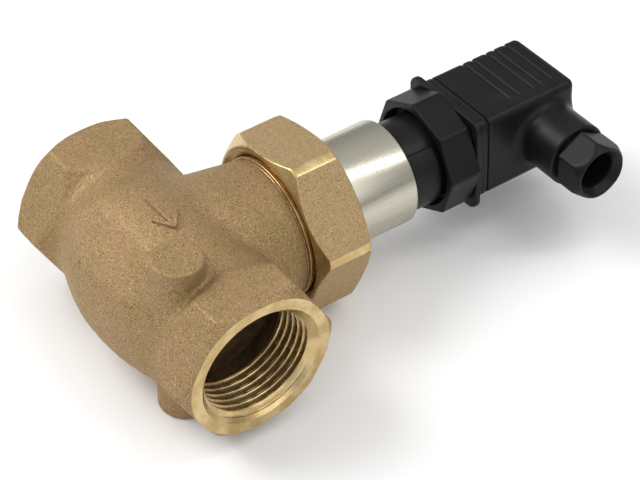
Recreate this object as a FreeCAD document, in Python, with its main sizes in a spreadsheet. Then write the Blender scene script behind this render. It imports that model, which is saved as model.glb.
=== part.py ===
"""Servo-assisted solenoid valve: globe body, bonnet under a union nut, coil sleeve, cable plug.

Frame, in millimetres: +X is the flow direction from inlet to outlet, +Y is the branch axis
towards the cable plug, +Z is up. The origin is where the run and branch axes cross.
"""
import FreeCAD, Part
import math
import os
import re
import Sketcher

Vector = FreeCAD.Vector
Rotation = FreeCAD.Rotation
ALONG_X = Rotation(Vector(0, 1, 0), 90)
ALONG_Y = Rotation(Vector(1, 0, 0), -90)
UPRIGHT = Rotation()
HALF_FLAT = Rotation(Vector(0, 0, 1), 22.5)      # puts a flat of an octagon, not a corner, forward

doc = FreeCAD.newDocument("SolenoidValve")

# ---------------------------------------------------------------- driving dimensions
DIMENSIONS = """
port_half 41            | run axis: origin to the face of each port
port_af 41              | hexagon of the ports, across flats
port_hex_back 30        | where the hexagon's corners start to fall away
port_hex_root 25.5      | where the hexagon has run out
run_r 19.8              | round barrel behind the hexagons
thread_minor_r 15.15    | G1 internal thread, minor radius
thread_depth 18         | length of the port threads
mouth_r 17.5            | countersink at the port face
belly_r 23.6            | belly radius at its middle
belly_end_r 16.8        | belly radius inside the ports
belly_half 25           | half length of the belly along the run
belly_x 1               | centre of the belly on the run axis
belly_y -1.3            | centre of the belly on the branch axis
branch_root_y 14        | where the branch starts to taper
branch_root_r 21.8      | branch radius at its root
branch_r 19.4           | branch radius below the nut
branch_cast_y 30        | end of the cast skin on the branch
branch_rim_y 31.2       | end of the machined rim
branch_rim_r 19.9       | machined rim under the union nut
branch_thread_r 19      | male thread for the union nut
branch_end_y 36         | sealing face of the branch
branch_bore_r 15.6      | bore that takes the bonnet
pad_x 18.8              | cast pad, along the run
pad_y -9.3              | cast pad, along the branch
pad_r 6.9               | cast pad radius
pad_z 25.4              | height of the pad faces
arrow_long 12.2         | flow arrow length
arrow_barb 5.4          | length of the arrow's barbs
arrow_spread 142        | angle between the shaft's end and a barb
arrow_wide 0.9          | width of the arrow's lines
arrow_rise 0.6          | height of the arrow above the skin
arrow_x 1.7             | middle of the arrow on the run axis
arrow_y -3              | middle of the arrow on the branch axis
seat_y 7                | face of the valve seat
seat_r 10.5             | bore of the valve seat
seat_floor_y 3          | underside of the seat wall
low_chamber_r 11.5      | chamber under the seat
low_chamber_y -19       | bottom of that chamber
passage_end 23.5        | where the passages meet the thread bores
inlet_y 5               | axis of the inlet passage along the branch
inlet_x -14             | inner end of the inlet passage
rise_r 5.5              | passage that climbs over the seat
rise_x -21              | outer end of that passage
rise_y 12.6             | its axis along the branch
outlet_r 9.5            | outlet passage radius
outlet_x 9              | inner end of the outlet passage
nut_af 46               | union nut across flats
nut_turned_r 25.75      | turned corners of the union nut
nut_face_r 22.6         | end faces of the union nut
nut_turn -9.8           | angle of the union nut's hexagon
nut_back_y 30.3         | union nut face towards the body
nut_back_deep 2.2       | length of the chamfer at that face
nut_front_y 46.6        | union nut face towards the plug
nut_front_deep 1.3      | length of the chamfer at that face
nut_recess_deep 2       | depth of the countersink towards the body
nut_recess_r 21.8       | countersink of the nut towards the body
nut_bore_r 19.05        | threaded bore of the nut
nut_shoulder_y 41.3     | shoulder that presses on the bonnet
nut_eye_r 16.2          | hole through the shoulder
gasket_t 0.5            | body gasket thickness
bonnet_flange_r 18.4    | bonnet flange radius
guide_r 12.5            | bore that guides the piston
guide_out_r 15.5        | outside of the guide
guide_low_y 16          | open end of the guide
guide_roof_y 33.5       | roof of the guide
spigot_y 43.3           | top of the spigot inside the sleeve
piston_r 12.45          | piston radius, 0.05 under its guide
piston_low_y 9.4        | underside of the piston
piston_floor_y 14       | floor of the piston's cup
piston_top_y 26         | rim of the piston's cup
piston_cup_r 10.4       | inside of the cup
ring_low_y 20.8         | piston ring groove, lower side
ring_high_y 22.8        | piston ring groove, upper side
ring_in_r 11.3          | bottom of the ring groove
nozzle_r 3.2            | pilot nozzle radius
nozzle_top_y 27         | pilot nozzle tip
nozzle_taper 1          | length of the nozzle's tapered tip
nozzle_land 0.6         | width of the nozzle's sealing land
pilot_r 1               | pilot hole radius
stud_r 2.5              | stud under the piston, M5
stud_low_y 2.2          | end of that stud
seal_r 12.4             | seat seal radius
retainer_r 9.6          | retainer plate radius
retainer_low_y 5.8      | underside of the retainer plate
small_nut_af 8          | M5 nuts, across flats
retainer_nut_y 2.8      | underside of the retainer nut
armature_r 6            | armature radius
armature_low_y 27.6     | armature tip
armature_taper 1.5      | chamfer of the armature tip
armature_top_y 50       | armature top
armature_bore_r 3       | spring bore in the armature
armature_bore_y 42      | bottom of that bore
pilot_seal_r 2.6        | pilot seal radius
pilot_seal_top_y 29.5   | bottom of the recess that holds the pilot seal
core_in_r 6.05          | armature tube bore
core_out_r 7            | armature tube outside
core_stop_y 59.2        | face that the armature is pulled to
core_top_y 64           | end of the armature tube
core_cap_y 65           | cap of the fixed core
core_stud_y 72          | end of the fixed core's stud
spring_wire_r 0.6       | piston spring wire radius
spring_coil_r 8.3       | piston spring mean radius
spring_pitch 3.2        | piston spring pitch
tip_wire_r 0.35         | armature spring wire radius
tip_coil_r 2.3          | armature spring mean radius
tip_pitch 1.7           | armature spring pitch
pole_r 13.9             | pole plate radius
pole_low_y 45.3         | top of the lower pole plate
bobbin_r 13.2           | bobbin flange radius
bobbin_barrel_r 8.2     | bobbin barrel radius
bobbin_flange 1.2       | bobbin flange thickness
bobbin_top_y 63.7       | top of the bobbin
winding_r 12.8          | coil winding radius
washer_r 8              | core washer radius
washer_top_y 66         | top of the core washer
core_nut_top_y 69.5     | top of the core nut
sleeve_r 15             | stainless sleeve outside, 30 mm tube
sleeve_wall 1           | sleeve wall
sleeve_top_y 68.7       | end of the sleeve
sleeve_edge 0.4         | chamfer at the end of the sleeve
adapter_r 12.4          | plug adapter radius
adapter_key_r 13.3      | raised sector of the adapter
adapter_key_y 78        | end of the raised sector
key_turn -51            | angle where the raised sector begins
key_sweep 176           | angle that the raised sector covers
adapter_low_y 67        | end of the adapter inside the sleeve
adapter_in_r 10.6       | bore of the adapter
adapter_step_y 82.2     | where the adapter steps down
adapter_top_y 87        | end of the adapter
adapter_top_r 11        | adapter radius inside the base
adapter_top_in_r 9.9    | adapter bore inside the base
lock_low_y 78.5         | lock nut, end towards the sleeve
lock_top_y 88.3         | lock nut, end towards the plug
lock_flat 15.9          | lock nut, half across the flats of its octagon
lock_turn 28            | angle of a flat about the branch axis
lock_recess_r 14.3      | wide bore of the lock nut
lock_bore_r 12.45       | threaded bore of the lock nut
base_low_y 88.5         | rim of the connector base
base_rim_y 90.2         | top of that rim
base_top_y 93.6         | gasket face of the base
base_rim_half 14.9      | half width of the rim
base_half 13.1          | half width of the base above the rim
base_corner 3.6         | corner radius of the base
base_hollow 11.6        | half width of the hollow under the rim
post_r 3.5              | post for the fixing screw
post_low_y 84           | end of the post
plug_roll 2.7           | the plug sits turned by this angle about the branch axis
pin_out 9               | centre of a contact blade from the branch axis
pin_wide 6.3            | contact blade width
pin_thick 0.8           | contact blade thickness
pin_low_y 87.5          | tail of the contact blades
pin_top_y 103.5         | tip of the contact blades
lead_r 0.6              | coil lead radius
plug_gasket_t 0.7       | flat gasket thickness
plug_gasket_half 12.6   | flat gasket half width
plug_half 13            | plug housing half width
plug_corner 2.5         | plug housing corner radius
plug_top_y 124.5        | far end of the plug housing
plug_wall 1.6           | plug housing wall
plug_roof 3             | thickness of the housing's far end
groove_wide 0.8         | grip grooves, width
groove_deep 0.5         | grip grooves, depth
groove_a 104.5          | first grip groove along the branch
groove_b 107.7          | second grip groove
groove_c 112.6          | third grip groove
groove_d 115.4          | fourth grip groove
groove_e 119.2          | fifth grip groove
groove_end 9            | end of the grooves towards the gland
gland_y 114.1           | gland axis along the branch
gland_tube_r 9.26       | gland tube outside
gland_tube_x 26.5       | end of the gland tube
gland_bore_r 7.5        | threaded bore of the gland tube
gland_seat_x 15         | bottom of that bore
cable_r 5.3             | cable hole
gland_nut_af 15.6       | gland nut across flats
gland_nut_low_x 27.3    | gland nut, end towards the tube
gland_nut_top_x 36.7    | gland nut face
gland_stub_x 20.5       | end of the gland nut's threaded stub
gland_stub_r 7.45       | threaded stub radius
gland_funnel_r 7.3      | funnel at the gland nut face
gland_funnel_x 34.3     | bottom of that funnel
gland_back_r 12.2       | cone round the gland nut, towards the tube
gland_face_r 7.65       | cone round the gland nut, at its face
grommet_r 7.3           | grommet radius
grommet_top_x 19.5      | end of the grommet
block_half 10.9         | terminal block half width
block_low_y 96.5        | terminal block, end towards the pins
block_top_y 106.5       | terminal block, end towards the cable space
clamp_long 8.2          | terminal clamp length along the blade's width
clamp_deep 3.2          | terminal clamp thickness
clamp_gap 0.2           | clearance around a blade in its clamp
clamp_low_y 97.5        | terminal clamp, lower end
clamp_screw_r 1.25      | terminal screw radius
clamp_head_r 1.5        | terminal screw head radius
screw_r 1.5             | fixing screw, M3
screw_head_r 3          | fixing screw head
screw_tip_y 85          | fixing screw tip
screw_seal_t 0.8        | ring under the screw head
screw_head_y 122.3      | underside of the screw head
screw_top_y 124.3       | top of the screw head
screw_play 0.05         | clearance round the screw in its post
hole_play 0.4           | clearance round the screw elsewhere
spare 1                 | how far cutting tools reach past a face
"""

sheet = doc.addObject("Spreadsheet::Sheet", "Sheet")
NAMES = []
for row, line in enumerate(DIMENSIONS.strip().splitlines(), start=1):
    setting, meaning = line.split("|")
    alias, number = setting.split()
    sheet.set(f"A{row}", meaning.strip())
    sheet.set(f"B{row}", number)
    sheet.setAlias(f"B{row}", alias)
    NAMES.append(alias)
doc.recompute()


def formula(text):
    """Turn 'port_half - 3' into an expression on the sheet's cells."""
    return re.sub(r"[a-z_]+", lambda word: "Sheet." + word[0] if word[0] in NAMES else word[0], str(text))


def bind(obj, prop, text):
    obj.setExpression(prop, formula(text))


def size(name):
    return float(sheet.get(name))


# ---------------------------------------------------------------- building helpers
def solid(kind, name, at=(0, 0, 0), turn=UPRIGHT, **sizes):
    """A Part primitive with every size, and its place, bound to the sheet."""
    obj = doc.addObject("Part::" + kind, name)
    for prop, text in sizes.items():
        bind(obj, prop, text)
    obj.Placement = FreeCAD.Placement(Vector(), turn)
    for axis, text in zip("xyz", at):
        if text != 0:
            bind(obj, "Placement.Base." + axis, text)
    return obj


def block(name, x, y, z):
    """A box from one corner to the other, each axis given as (low, high)."""
    low = [span[0] for span in (x, y, z)]
    length, width, height = [f"({span[1]}) - ({span[0]})" for span in (x, y, z)]
    return solid("Box", name, at=low, Length=length, Width=width, Height=height)


def centred_block(name, half, y):
    """A square block about the branch axis."""
    return block(name, (f"-({half})", half), y, (f"-({half})", half))


def rod_x(name, radius, start, end, y=0, z=0):
    return solid("Cylinder", name, (start, y, z), ALONG_X, Radius=radius, Height=f"({end}) - ({start})")


def rod_y(name, radius, start, end, x=0, z=0):
    return solid("Cylinder", name, (x, start, z), ALONG_Y, Radius=radius, Height=f"({end}) - ({start})")


def cone_x(name, r_start, r_end, start, end):
    return solid("Cone", name, (start, 0, 0), ALONG_X, Radius1=r_start, Radius2=r_end,
                 Height=f"({end}) - ({start})")


def cone_y(name, r_start, r_end, start, end):
    return solid("Cone", name, (0, start, 0), ALONG_Y, Radius1=r_start, Radius2=r_end,
                 Height=f"({end}) - ({start})")


def hexagon(name, across_flats, start, end, turn, axis, y=0):
    """A hexagonal prism along an axis, given across its flats."""
    place = (start, y, 0) if axis == "x" else (0, start, 0)
    prism = solid("Prism", name, place, turn, Circumradius=f"({across_flats}) / 2 / cos(30 deg)",
                  Height=f"({end}) - ({start})")
    prism.Polygon = 6
    return prism


def join(name, *shapes):
    obj = doc.addObject("Part::MultiFuse", name)
    obj.Shapes = list(shapes)
    return obj


def overlap(name, *shapes):
    obj = doc.addObject("Part::MultiCommon", name)
    obj.Shapes = list(shapes)
    return obj


def cut(name, base, *tools):
    obj = doc.addObject("Part::Cut", name)
    obj.Base = base
    obj.Tool = tools[0] if len(tools) == 1 else join(name + "_tools", *tools)
    return obj


def origin_plane(body, role):
    return next(item for item in body.Origin.OriginFeatures if item.Role == role)


def polygon(sketch, points):
    """A closed outline whose corners are bound to the sheet."""
    start = [Vector(10 + index, 5 + index % 3, 0) for index in range(len(points))]
    for index, here in enumerate(start):
        sketch.addGeometry(Part.LineSegment(here, start[(index + 1) % len(start)]), False)
    for index in range(len(points)):
        following = (index + 1) % len(points)
        sketch.addConstraint(Sketcher.Constraint("Coincident", index, 2, following, 1))
    for index, (across, along) in enumerate(points):
        for kind, text in (("DistanceX", across), ("DistanceY", along)):
            number = sketch.addConstraint(Sketcher.Constraint(kind, -1, 1, index, 1, 1.0))
            sketch.setExpression(f"Constraints[{number}]", formula(text))


def new_sketch(body, name, role="XY_Plane"):
    sketch = body.newObject("Sketcher::SketchObject", name)
    sketch.AttachmentSupport = (origin_plane(body, role), [""])
    sketch.MapMode = "FlatFace"
    return sketch


def turned(name, *outline):
    """A piece turned about the branch axis, from its (radius, y) corners."""
    body = doc.addObject("PartDesign::Body", name)
    sketch = new_sketch(body, name + "_outline")
    polygon(sketch, outline)
    turning = body.newObject("PartDesign::Revolution", name + "_turning")
    turning.Profile = sketch
    turning.ReferenceAxis = (sketch, ["V_Axis"])
    turning.Angle = 360
    sketch.Visibility = False
    return body


def ring(name, inner, outer, low, high):
    return turned(name, (inner, low), (outer, low), (outer, high), (inner, high))


def coil_spring(name, wire_r, coil_r, pitch, low, high):
    """A helical spring about the branch axis between two faces."""
    body = doc.addObject("PartDesign::Body", name)
    sketch = new_sketch(body, name + "_wire")
    sketch.addGeometry(Part.Circle(Vector(size(coil_r), size(low) + size(wire_r), 0),
                                   Vector(0, 0, 1), size(wire_r)), False)
    radius = sketch.addConstraint(Sketcher.Constraint("Radius", 0, size(wire_r)))
    sketch.setExpression(f"Constraints[{radius}]", formula(wire_r))
    across = sketch.addConstraint(Sketcher.Constraint("DistanceX", -1, 1, 0, 3, size(coil_r)))
    sketch.setExpression(f"Constraints[{across}]", formula(coil_r))
    along = sketch.addConstraint(Sketcher.Constraint("DistanceY", -1, 1, 0, 3, 1.0))
    sketch.setExpression(f"Constraints[{along}]", formula(f"{low} + {wire_r} + 0.02"))
    doc.recompute()
    helix = body.newObject("PartDesign::AdditiveHelix", name + "_helix")
    helix.Profile = sketch
    helix.ReferenceAxis = (sketch, ["V_Axis"])
    helix.Mode = 0
    helix.Pitch = size(pitch)
    bind(helix, "Pitch", pitch)
    bind(helix, "Height", f"{high} - ({low}) - 2 * {wire_r} - 0.04")
    return body


def rounded(name, base, radius, chosen):
    """Round the edges of a finished shape that the test 'chosen' picks."""
    doc.recompute()
    obj = doc.addObject("Part::Fillet", name)
    obj.Base = base
    value = size(radius)
    obj.Edges = [(index, value, value) for index, edge in enumerate(base.Shape.Edges, 1) if chosen(edge)]
    return obj


def edge_along(axis):
    def test(edge):
        first, last = edge.Vertexes[0].Point, edge.Vertexes[-1].Point
        step = last - first
        return abs(abs(getattr(step, axis)) - step.Length) < 1e-6 and step.Length > 1
    return test


def grouped(name, *shapes):
    """Several separate solids that make up one node."""
    obj = doc.addObject("Part::Compound", name)
    obj.Links = list(shapes)
    return obj


def rolled(obj):
    """Turn a piece of the plug about the branch axis, as the plug is set."""
    obj.Placement = FreeCAD.Placement(Vector(), Rotation(Vector(0, -1, 0), 1))
    bind(obj, "Placement.Rotation.Angle", "plug_roll")
    return obj


pieces = {}


def keep(name, obj):
    obj.Label = name
    pieces[name] = obj
    return obj


# ---------------------------------------------------------------- valve body
def port_hexagon(name):
    """Hexagon of one port, with its corners turned off at the face and at the back."""
    reach = "port_af / 2"
    corner = "port_af / 2 / cos(30 deg)"
    prism = hexagon(name + "_prism", "port_af", "port_hex_root", "port_half",
                    Rotation(Vector(0, 1, 0), 90) * Rotation(Vector(0, 0, 1), 90), "x")
    back = cone_x(name + "_back", "run_r", f"{corner} + spare", "port_hex_root", "port_hex_back")
    middle = rod_x(name + "_middle", f"{corner} + spare", "port_hex_back",
                   f"port_half - {corner} + {reach}")
    front = cone_x(name + "_front", corner, reach, f"port_half - {corner} + {reach}", "port_half")
    return overlap(name, prism, join(name + "_turning", back, middle, front))


def opposite(name, obj):
    """The same shape on the inlet side, mirrored in the branch axis."""
    twin = doc.addObject("Part::Mirroring", name)
    twin.Source = obj
    twin.Normal = Vector(1, 0, 0)
    return twin


def flow_arrow():
    """Cast arrow: a shaft and two barbs, limited to a thin skin over the belly."""
    half = "arrow_wide / 2"
    shaft = block("arrow_shaft", ("arrow_x - arrow_long / 2", "arrow_x + arrow_long / 2"),
                  (f"arrow_y - {half}", f"arrow_y + {half}"), ("0", "pad_z"))
    barbs = []
    for name, angle in (("arrow_barb_a", size("arrow_spread")), ("arrow_barb_b", -size("arrow_spread"))):
        barb = solid("Box", name, ("arrow_x + arrow_long / 2", "arrow_y", 0),
                     Rotation(Vector(0, 0, 1), angle), Length="arrow_barb", Width="arrow_wide",
                     Height="pad_z")
        barbs.append(barb)
    skin = belly("arrow_skin", "arrow_rise")
    return overlap("arrow", join("arrow_lines", shaft, *barbs), skin)


def belly(name, grow="0"):
    """A barrel turned about the run: one arc swept round an axis through the belly's centre."""
    end = f"(belly_end_r + {grow})"
    rise = "(belly_r - belly_end_r)"
    arc_r = f"(belly_half * belly_half + {rise} * {rise}) / (2 * {rise})"
    body = doc.addObject("PartDesign::Body", name)
    sketch = new_sketch(body, name + "_outline")
    half, end_r = size("belly_half"), size("belly_end_r")
    climb = size("belly_r") - end_r
    radius = (half * half + climb * climb) / (2 * climb)
    centre = Vector(0, end_r + climb - radius, 0)
    spread = math.asin(half / radius)
    circle = Part.Circle(centre, Vector(0, 0, 1), radius)
    sketch.addGeometry(Part.ArcOfCircle(circle, math.pi / 2 - spread, math.pi / 2 + spread), False)
    corners = [Vector(-half, end_r, 0), Vector(-half, 0, 0), Vector(half, 0, 0), Vector(half, end_r, 0)]
    for first, last in zip(corners, corners[1:]):
        sketch.addGeometry(Part.LineSegment(first, last), False)
    for first, second in (((0, 2), (1, 1)), ((1, 2), (2, 1)), ((2, 2), (3, 1)), ((3, 2), (0, 1))):
        sketch.addConstraint(Sketcher.Constraint("Coincident", *first, *second))
    places = ((1, 1, "-belly_half", end, corners[0]), (3, 2, "belly_half", end, corners[3]),
              (2, 1, "-belly_half", "0", corners[1]), (2, 2, "belly_half", "0", corners[2]))
    for line, point, across, along, here in places:
        for kind, text, value in (("DistanceX", across, here.x), ("DistanceY", along, here.y)):
            number = sketch.addConstraint(Sketcher.Constraint(kind, -1, 1, line, point, value))
            sketch.setExpression(f"Constraints[{number}]", formula(text))
    number = sketch.addConstraint(Sketcher.Constraint("Radius", 0, radius))
    sketch.setExpression(f"Constraints[{number}]", formula(arc_r))
    turning = body.newObject("PartDesign::Revolution", name + "_turning")
    turning.Profile = sketch
    turning.ReferenceAxis = (sketch, ["H_Axis"])
    turning.Angle = 360
    bind(body, "Placement.Base.x", "belly_x")
    bind(body, "Placement.Base.y", "belly_y")
    return body


def valve_body():
    outlet_hexagon = port_hexagon("outlet_hexagon")
    casting = join(
        "casting", belly("belly"), rod_x("run", "run_r", "-port_hex_back", "port_hex_back"),
        outlet_hexagon, opposite("inlet_hexagon", outlet_hexagon),
        cone_y("branch", "branch_root_r", "branch_r", "branch_root_y", "branch_cast_y"),
        rod_y("branch_root", "branch_root_r", "0", "branch_root_y"),
        rod_y("branch_rim", "branch_rim_r", "branch_cast_y", "branch_rim_y"),
        rod_y("branch_thread", "branch_thread_r", "branch_rim_y", "branch_end_y"),
        solid("Cylinder", "pads", ("pad_x", "pad_y", "-pad_z"), Radius="pad_r", Height="2 * pad_z"),
        flow_arrow())
    mouth = cone_x("outlet_mouth", "thread_minor_r", "mouth_r", "port_half - mouth_r + thread_minor_r",
                   "port_half")
    mouth_clear = rod_x("outlet_mouth_clear", "mouth_r", "port_half", "port_half + spare")
    outlet = rod_x("outlet_thread", "thread_minor_r", "port_half - thread_depth", "port_half")
    port = join("outlet_port", mouth, mouth_clear, outlet)
    upper = join(
        "upper_chamber", opposite("inlet_port", port),
        rod_x("inlet_passage", "low_chamber_r", "-passage_end", "inlet_x", y="inlet_y"),
        rod_x("inlet_rise", "rise_r", "rise_x", "0", y="rise_y"),
        rod_y("branch_bore", "branch_bore_r", "seat_y", "branch_end_y + spare"))
    lower = join(
        "lower_chamber", port,
        rod_x("outlet_passage", "outlet_r", "outlet_x", "passage_end", y="seat_floor_y - outlet_r"),
        rod_y("under_seat", "low_chamber_r", "low_chamber_y", "seat_floor_y"),
        rod_y("seat_bore", "seat_r", "seat_floor_y - spare", "seat_y + spare"))
    keep("valve_body", cut("valve_body", casting, upper, lower))


# ---------------------------------------------------------------- nut, bonnet and seals
def union_nut():
    prism = hexagon("nut_prism", "nut_af", "nut_back_y", "nut_front_y",
                    ALONG_Y * Rotation(Vector(0, 0, 1), size("nut_turn")), "y")
    turning = turned(
        "nut_turning", (0, "nut_back_y"), ("nut_face_r", "nut_back_y"),
        ("nut_turned_r", "nut_back_y + nut_back_deep"),
        ("nut_turned_r", "nut_front_y - nut_front_deep"),
        ("nut_face_r", "nut_front_y"), (0, "nut_front_y"))
    bore = turned(
        "nut_hole", (0, "nut_back_y - spare"), ("nut_recess_r", "nut_back_y - spare"),
        ("nut_recess_r", "nut_back_y"), ("nut_bore_r", "nut_back_y + nut_recess_deep"),
        ("nut_bore_r", "nut_shoulder_y"), ("nut_eye_r", "nut_shoulder_y"),
        ("nut_eye_r", "nut_front_y + spare"), (0, "nut_front_y + spare"))
    keep("union_nut", cut("union_nut", overlap("nut_blank", prism, turning), bore))


def bonnet_and_seals():
    flange_low = "branch_end_y + gasket_t"
    keep("bonnet", turned(
        "bonnet", ("guide_r", "guide_low_y"), ("guide_out_r", "guide_low_y"),
        ("guide_out_r", flange_low), ("bonnet_flange_r", flange_low),
        ("bonnet_flange_r", "nut_shoulder_y"), ("sleeve_r - sleeve_wall", "nut_shoulder_y"),
        ("sleeve_r - sleeve_wall", "spigot_y"), ("core_out_r", "spigot_y"),
        ("core_out_r", "guide_roof_y"), ("guide_r", "guide_roof_y")))
    keep("body_gasket", ring("body_gasket", "branch_bore_r", "bonnet_flange_r", "branch_end_y", flange_low))


# ---------------------------------------------------------------- piston group
def piston_group():
    keep("piston", turned(
        "piston", ("pilot_r", "stud_low_y"), ("stud_r", "stud_low_y"), ("stud_r", "piston_low_y"),
        ("piston_r", "piston_low_y"), ("piston_r", "ring_low_y"), ("ring_in_r", "ring_low_y"),
        ("ring_in_r", "ring_high_y"), ("piston_r", "ring_high_y"), ("piston_r", "piston_top_y"),
        ("piston_cup_r", "piston_top_y"), ("piston_cup_r", "piston_floor_y"),
        ("nozzle_r", "piston_floor_y"), ("nozzle_r", "nozzle_top_y - nozzle_taper"),
        ("pilot_r + nozzle_land", "nozzle_top_y"), ("pilot_r", "nozzle_top_y")))
    keep("piston_ring", ring("piston_ring", "ring_in_r + 0.05", "guide_r - 0.03",
                             "ring_low_y + 0.05", "ring_high_y - 0.05"))
    keep("seat_seal", ring("seat_seal", "stud_r", "seal_r", "seat_y", "piston_low_y"))
    keep("seal_retainer", ring("seal_retainer", "stud_r", "retainer_r", "retainer_low_y", "seat_y"))
    keep("retainer_nut", small_nut("retainer_nut", "retainer_nut_y", "retainer_low_y"))


def small_nut(name, low, high):
    prism = hexagon(name + "_prism", "small_nut_af", low, high, ALONG_Y, "y")
    hole = rod_y(name + "_hole", "stud_r", f"{low} - spare", f"{high} + spare")
    return cut(name, prism, hole)


# ---------------------------------------------------------------- armature group and coil
def armature_group():
    keep("armature", turned(
        "armature", ("pilot_seal_r", "armature_low_y"), ("armature_r - armature_taper", "armature_low_y"),
        ("armature_r", "armature_low_y + armature_taper"), ("armature_r", "armature_top_y"),
        ("armature_bore_r", "armature_top_y"), ("armature_bore_r", "armature_bore_y"),
        (0, "armature_bore_y"), (0, "pilot_seal_top_y"), ("pilot_seal_r", "pilot_seal_top_y")))
    keep("pilot_seal", turned(
        "pilot_seal", (0, "nozzle_top_y"), ("pilot_seal_r", "nozzle_top_y"),
        ("pilot_seal_r", "pilot_seal_top_y"), (0, "pilot_seal_top_y")))


def coil_group():
    keep("core_tube", ring("core_tube", "core_in_r", "core_out_r", "guide_roof_y", "core_top_y"))
    keep("fixed_core", turned(
        "fixed_core", (0, "core_stop_y"), ("core_in_r", "core_stop_y"), ("core_in_r", "core_top_y"),
        ("core_out_r", "core_top_y"), ("core_out_r", "core_cap_y"), ("stud_r", "core_cap_y"),
        ("stud_r", "core_stud_y"), (0, "core_stud_y")))
    keep("lower_pole_plate", ring("lower_pole_plate", "core_out_r", "pole_r", "spigot_y", "pole_low_y"))
    keep("coil_bobbin", turned(
        "coil_bobbin", ("core_out_r", "pole_low_y"), ("bobbin_r", "pole_low_y"),
        ("bobbin_r", "pole_low_y + bobbin_flange"), ("bobbin_barrel_r", "pole_low_y + bobbin_flange"),
        ("bobbin_barrel_r", "bobbin_top_y - bobbin_flange"),
        ("bobbin_r", "bobbin_top_y - bobbin_flange"), ("bobbin_r", "bobbin_top_y"),
        ("core_out_r", "bobbin_top_y")))
    keep("coil_winding", ring("coil_winding", "bobbin_barrel_r", "winding_r",
                              "pole_low_y + bobbin_flange", "bobbin_top_y - bobbin_flange"))
    plate = ring("upper_plate_blank", "core_out_r", "pole_r", "bobbin_top_y", "core_cap_y")
    wire_holes = [rod_y(f"wire_hole_{side}", "lead_r + 0.6", "bobbin_top_y - spare", "core_cap_y + spare",
                        z=f"{sign}pin_out") for side, sign in (("a", ""), ("b", "-"))]
    keep("upper_pole_plate", rolled(cut("upper_pole_plate", plate, *wire_holes)))
    keep("core_washer", ring("core_washer", "stud_r", "washer_r", "core_cap_y", "washer_top_y"))
    keep("core_nut", small_nut("core_nut", "washer_top_y", "core_nut_top_y"))
    keep("coil_sleeve", turned(
        "coil_sleeve", ("sleeve_r - sleeve_wall", "nut_shoulder_y"), ("sleeve_r", "nut_shoulder_y"),
        ("sleeve_r", "sleeve_top_y - sleeve_edge"), ("sleeve_r - sleeve_edge", "sleeve_top_y"),
        ("sleeve_r - sleeve_wall", "sleeve_top_y")))
    leads = [rod_y(f"lead_{side}", "lead_r", "bobbin_top_y", "pin_low_y", z=f"{sign}pin_out")
             for side, sign in (("a", ""), ("b", "-"))]
    keep("coil_leads", rolled(grouped("coil_leads", *leads)))


# ---------------------------------------------------------------- adapter, lock nut and base
def plug_adapter():
    tube = turned(
        "adapter_tube", ("adapter_in_r", "adapter_low_y"),
        ("sleeve_r - sleeve_wall", "adapter_low_y"), ("sleeve_r - sleeve_wall", "sleeve_top_y"),
        ("adapter_r", "sleeve_top_y"), ("adapter_r", "adapter_step_y"),
        ("adapter_top_r", "adapter_step_y"), ("adapter_top_r", "adapter_top_y"),
        ("adapter_top_in_r", "adapter_top_y"), ("adapter_top_in_r", "adapter_step_y - 2"),
        ("adapter_in_r", "adapter_step_y - 3"))
    key = solid("Cylinder", "adapter_key", (0, "sleeve_top_y", 0),
                ALONG_Y * Rotation(Vector(0, 0, 1), size("key_turn")), Radius="adapter_key_r",
                Height="adapter_key_y - sleeve_top_y")
    bind(key, "Angle", "key_sweep")
    core = rod_y("adapter_key_core", "adapter_r", "sleeve_top_y - spare", "adapter_key_y + spare")
    keep("plug_adapter", join("plug_adapter", tube, cut("adapter_sector", key, core)))


def lock_nut():
    blank = solid("Prism", "lock_blank", (0, "lock_low_y", 0),
                  Rotation(Vector(0, -1, 0), size("lock_turn")) * ALONG_Y * HALF_FLAT,
                  Circumradius="lock_flat / cos(22.5 deg)", Height="lock_top_y - lock_low_y")
    blank.Polygon = 8
    bore = turned(
        "lock_bore", (0, "lock_low_y - spare"), ("lock_recess_r", "lock_low_y - spare"),
        ("lock_recess_r", "adapter_step_y"), ("lock_bore_r", "adapter_step_y"),
        ("lock_bore_r", "lock_top_y + spare"), (0, "lock_top_y + spare"))
    keep("lock_nut", cut("lock_nut", blank, bore))


def pin_slot(name, side, grow, low, high):
    """Space around one contact blade: 'up', 'down' for the poles, 'back' for the earth blade."""
    half_w = f"pin_wide / 2 + {grow}"
    half_t = f"pin_thick / 2 + {grow}"
    if side == "back":
        return block(name, (f"-pin_out - ({half_t})", f"-pin_out + {half_t}"), (low, high),
                     (f"-({half_w})", half_w))
    sign = "" if side == "up" else "-"
    return block(name, (f"-({half_w})", half_w), (low, high),
                 (f"{sign}pin_out - ({half_t})", f"{sign}pin_out + {half_t}"))


SIDES = ("up", "down", "back")


def connector_base():
    rim = rounded("base_rim", centred_block("base_rim_block", "base_rim_half",
                                            ("base_low_y", "base_rim_y")),
                  "base_corner", edge_along("y"))
    plate = rounded("base_plate", centred_block("base_block", "base_half", ("base_rim_y", "base_top_y")),
                    "base_corner", edge_along("y"))
    hollow = rounded("base_hollow_cut",
                     centred_block("base_hollow_block", "base_hollow",
                                   ("base_low_y - spare", "base_rim_y")),
                     "base_corner", edge_along("y"))
    stub = ring("base_stub", "adapter_top_r", "adapter_r", "adapter_step_y", "base_rim_y")
    post = rod_y("screw_post", "post_r", "post_low_y", "base_rim_y")
    hole = rod_y("screw_hole", "screw_r + screw_play", "post_low_y - spare", "base_top_y + spare")
    slots = [pin_slot(f"base_slot_{side}", side, "0", "base_rim_y - spare",
                      "base_top_y + spare") for side in SIDES]
    shell = cut("base_shell", join("base_outside", rim, plate), hollow)
    keep("connector_base", rolled(cut("connector_base", join("base_solid", shell, stub, post), hole,
                                      *slots)))


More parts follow.
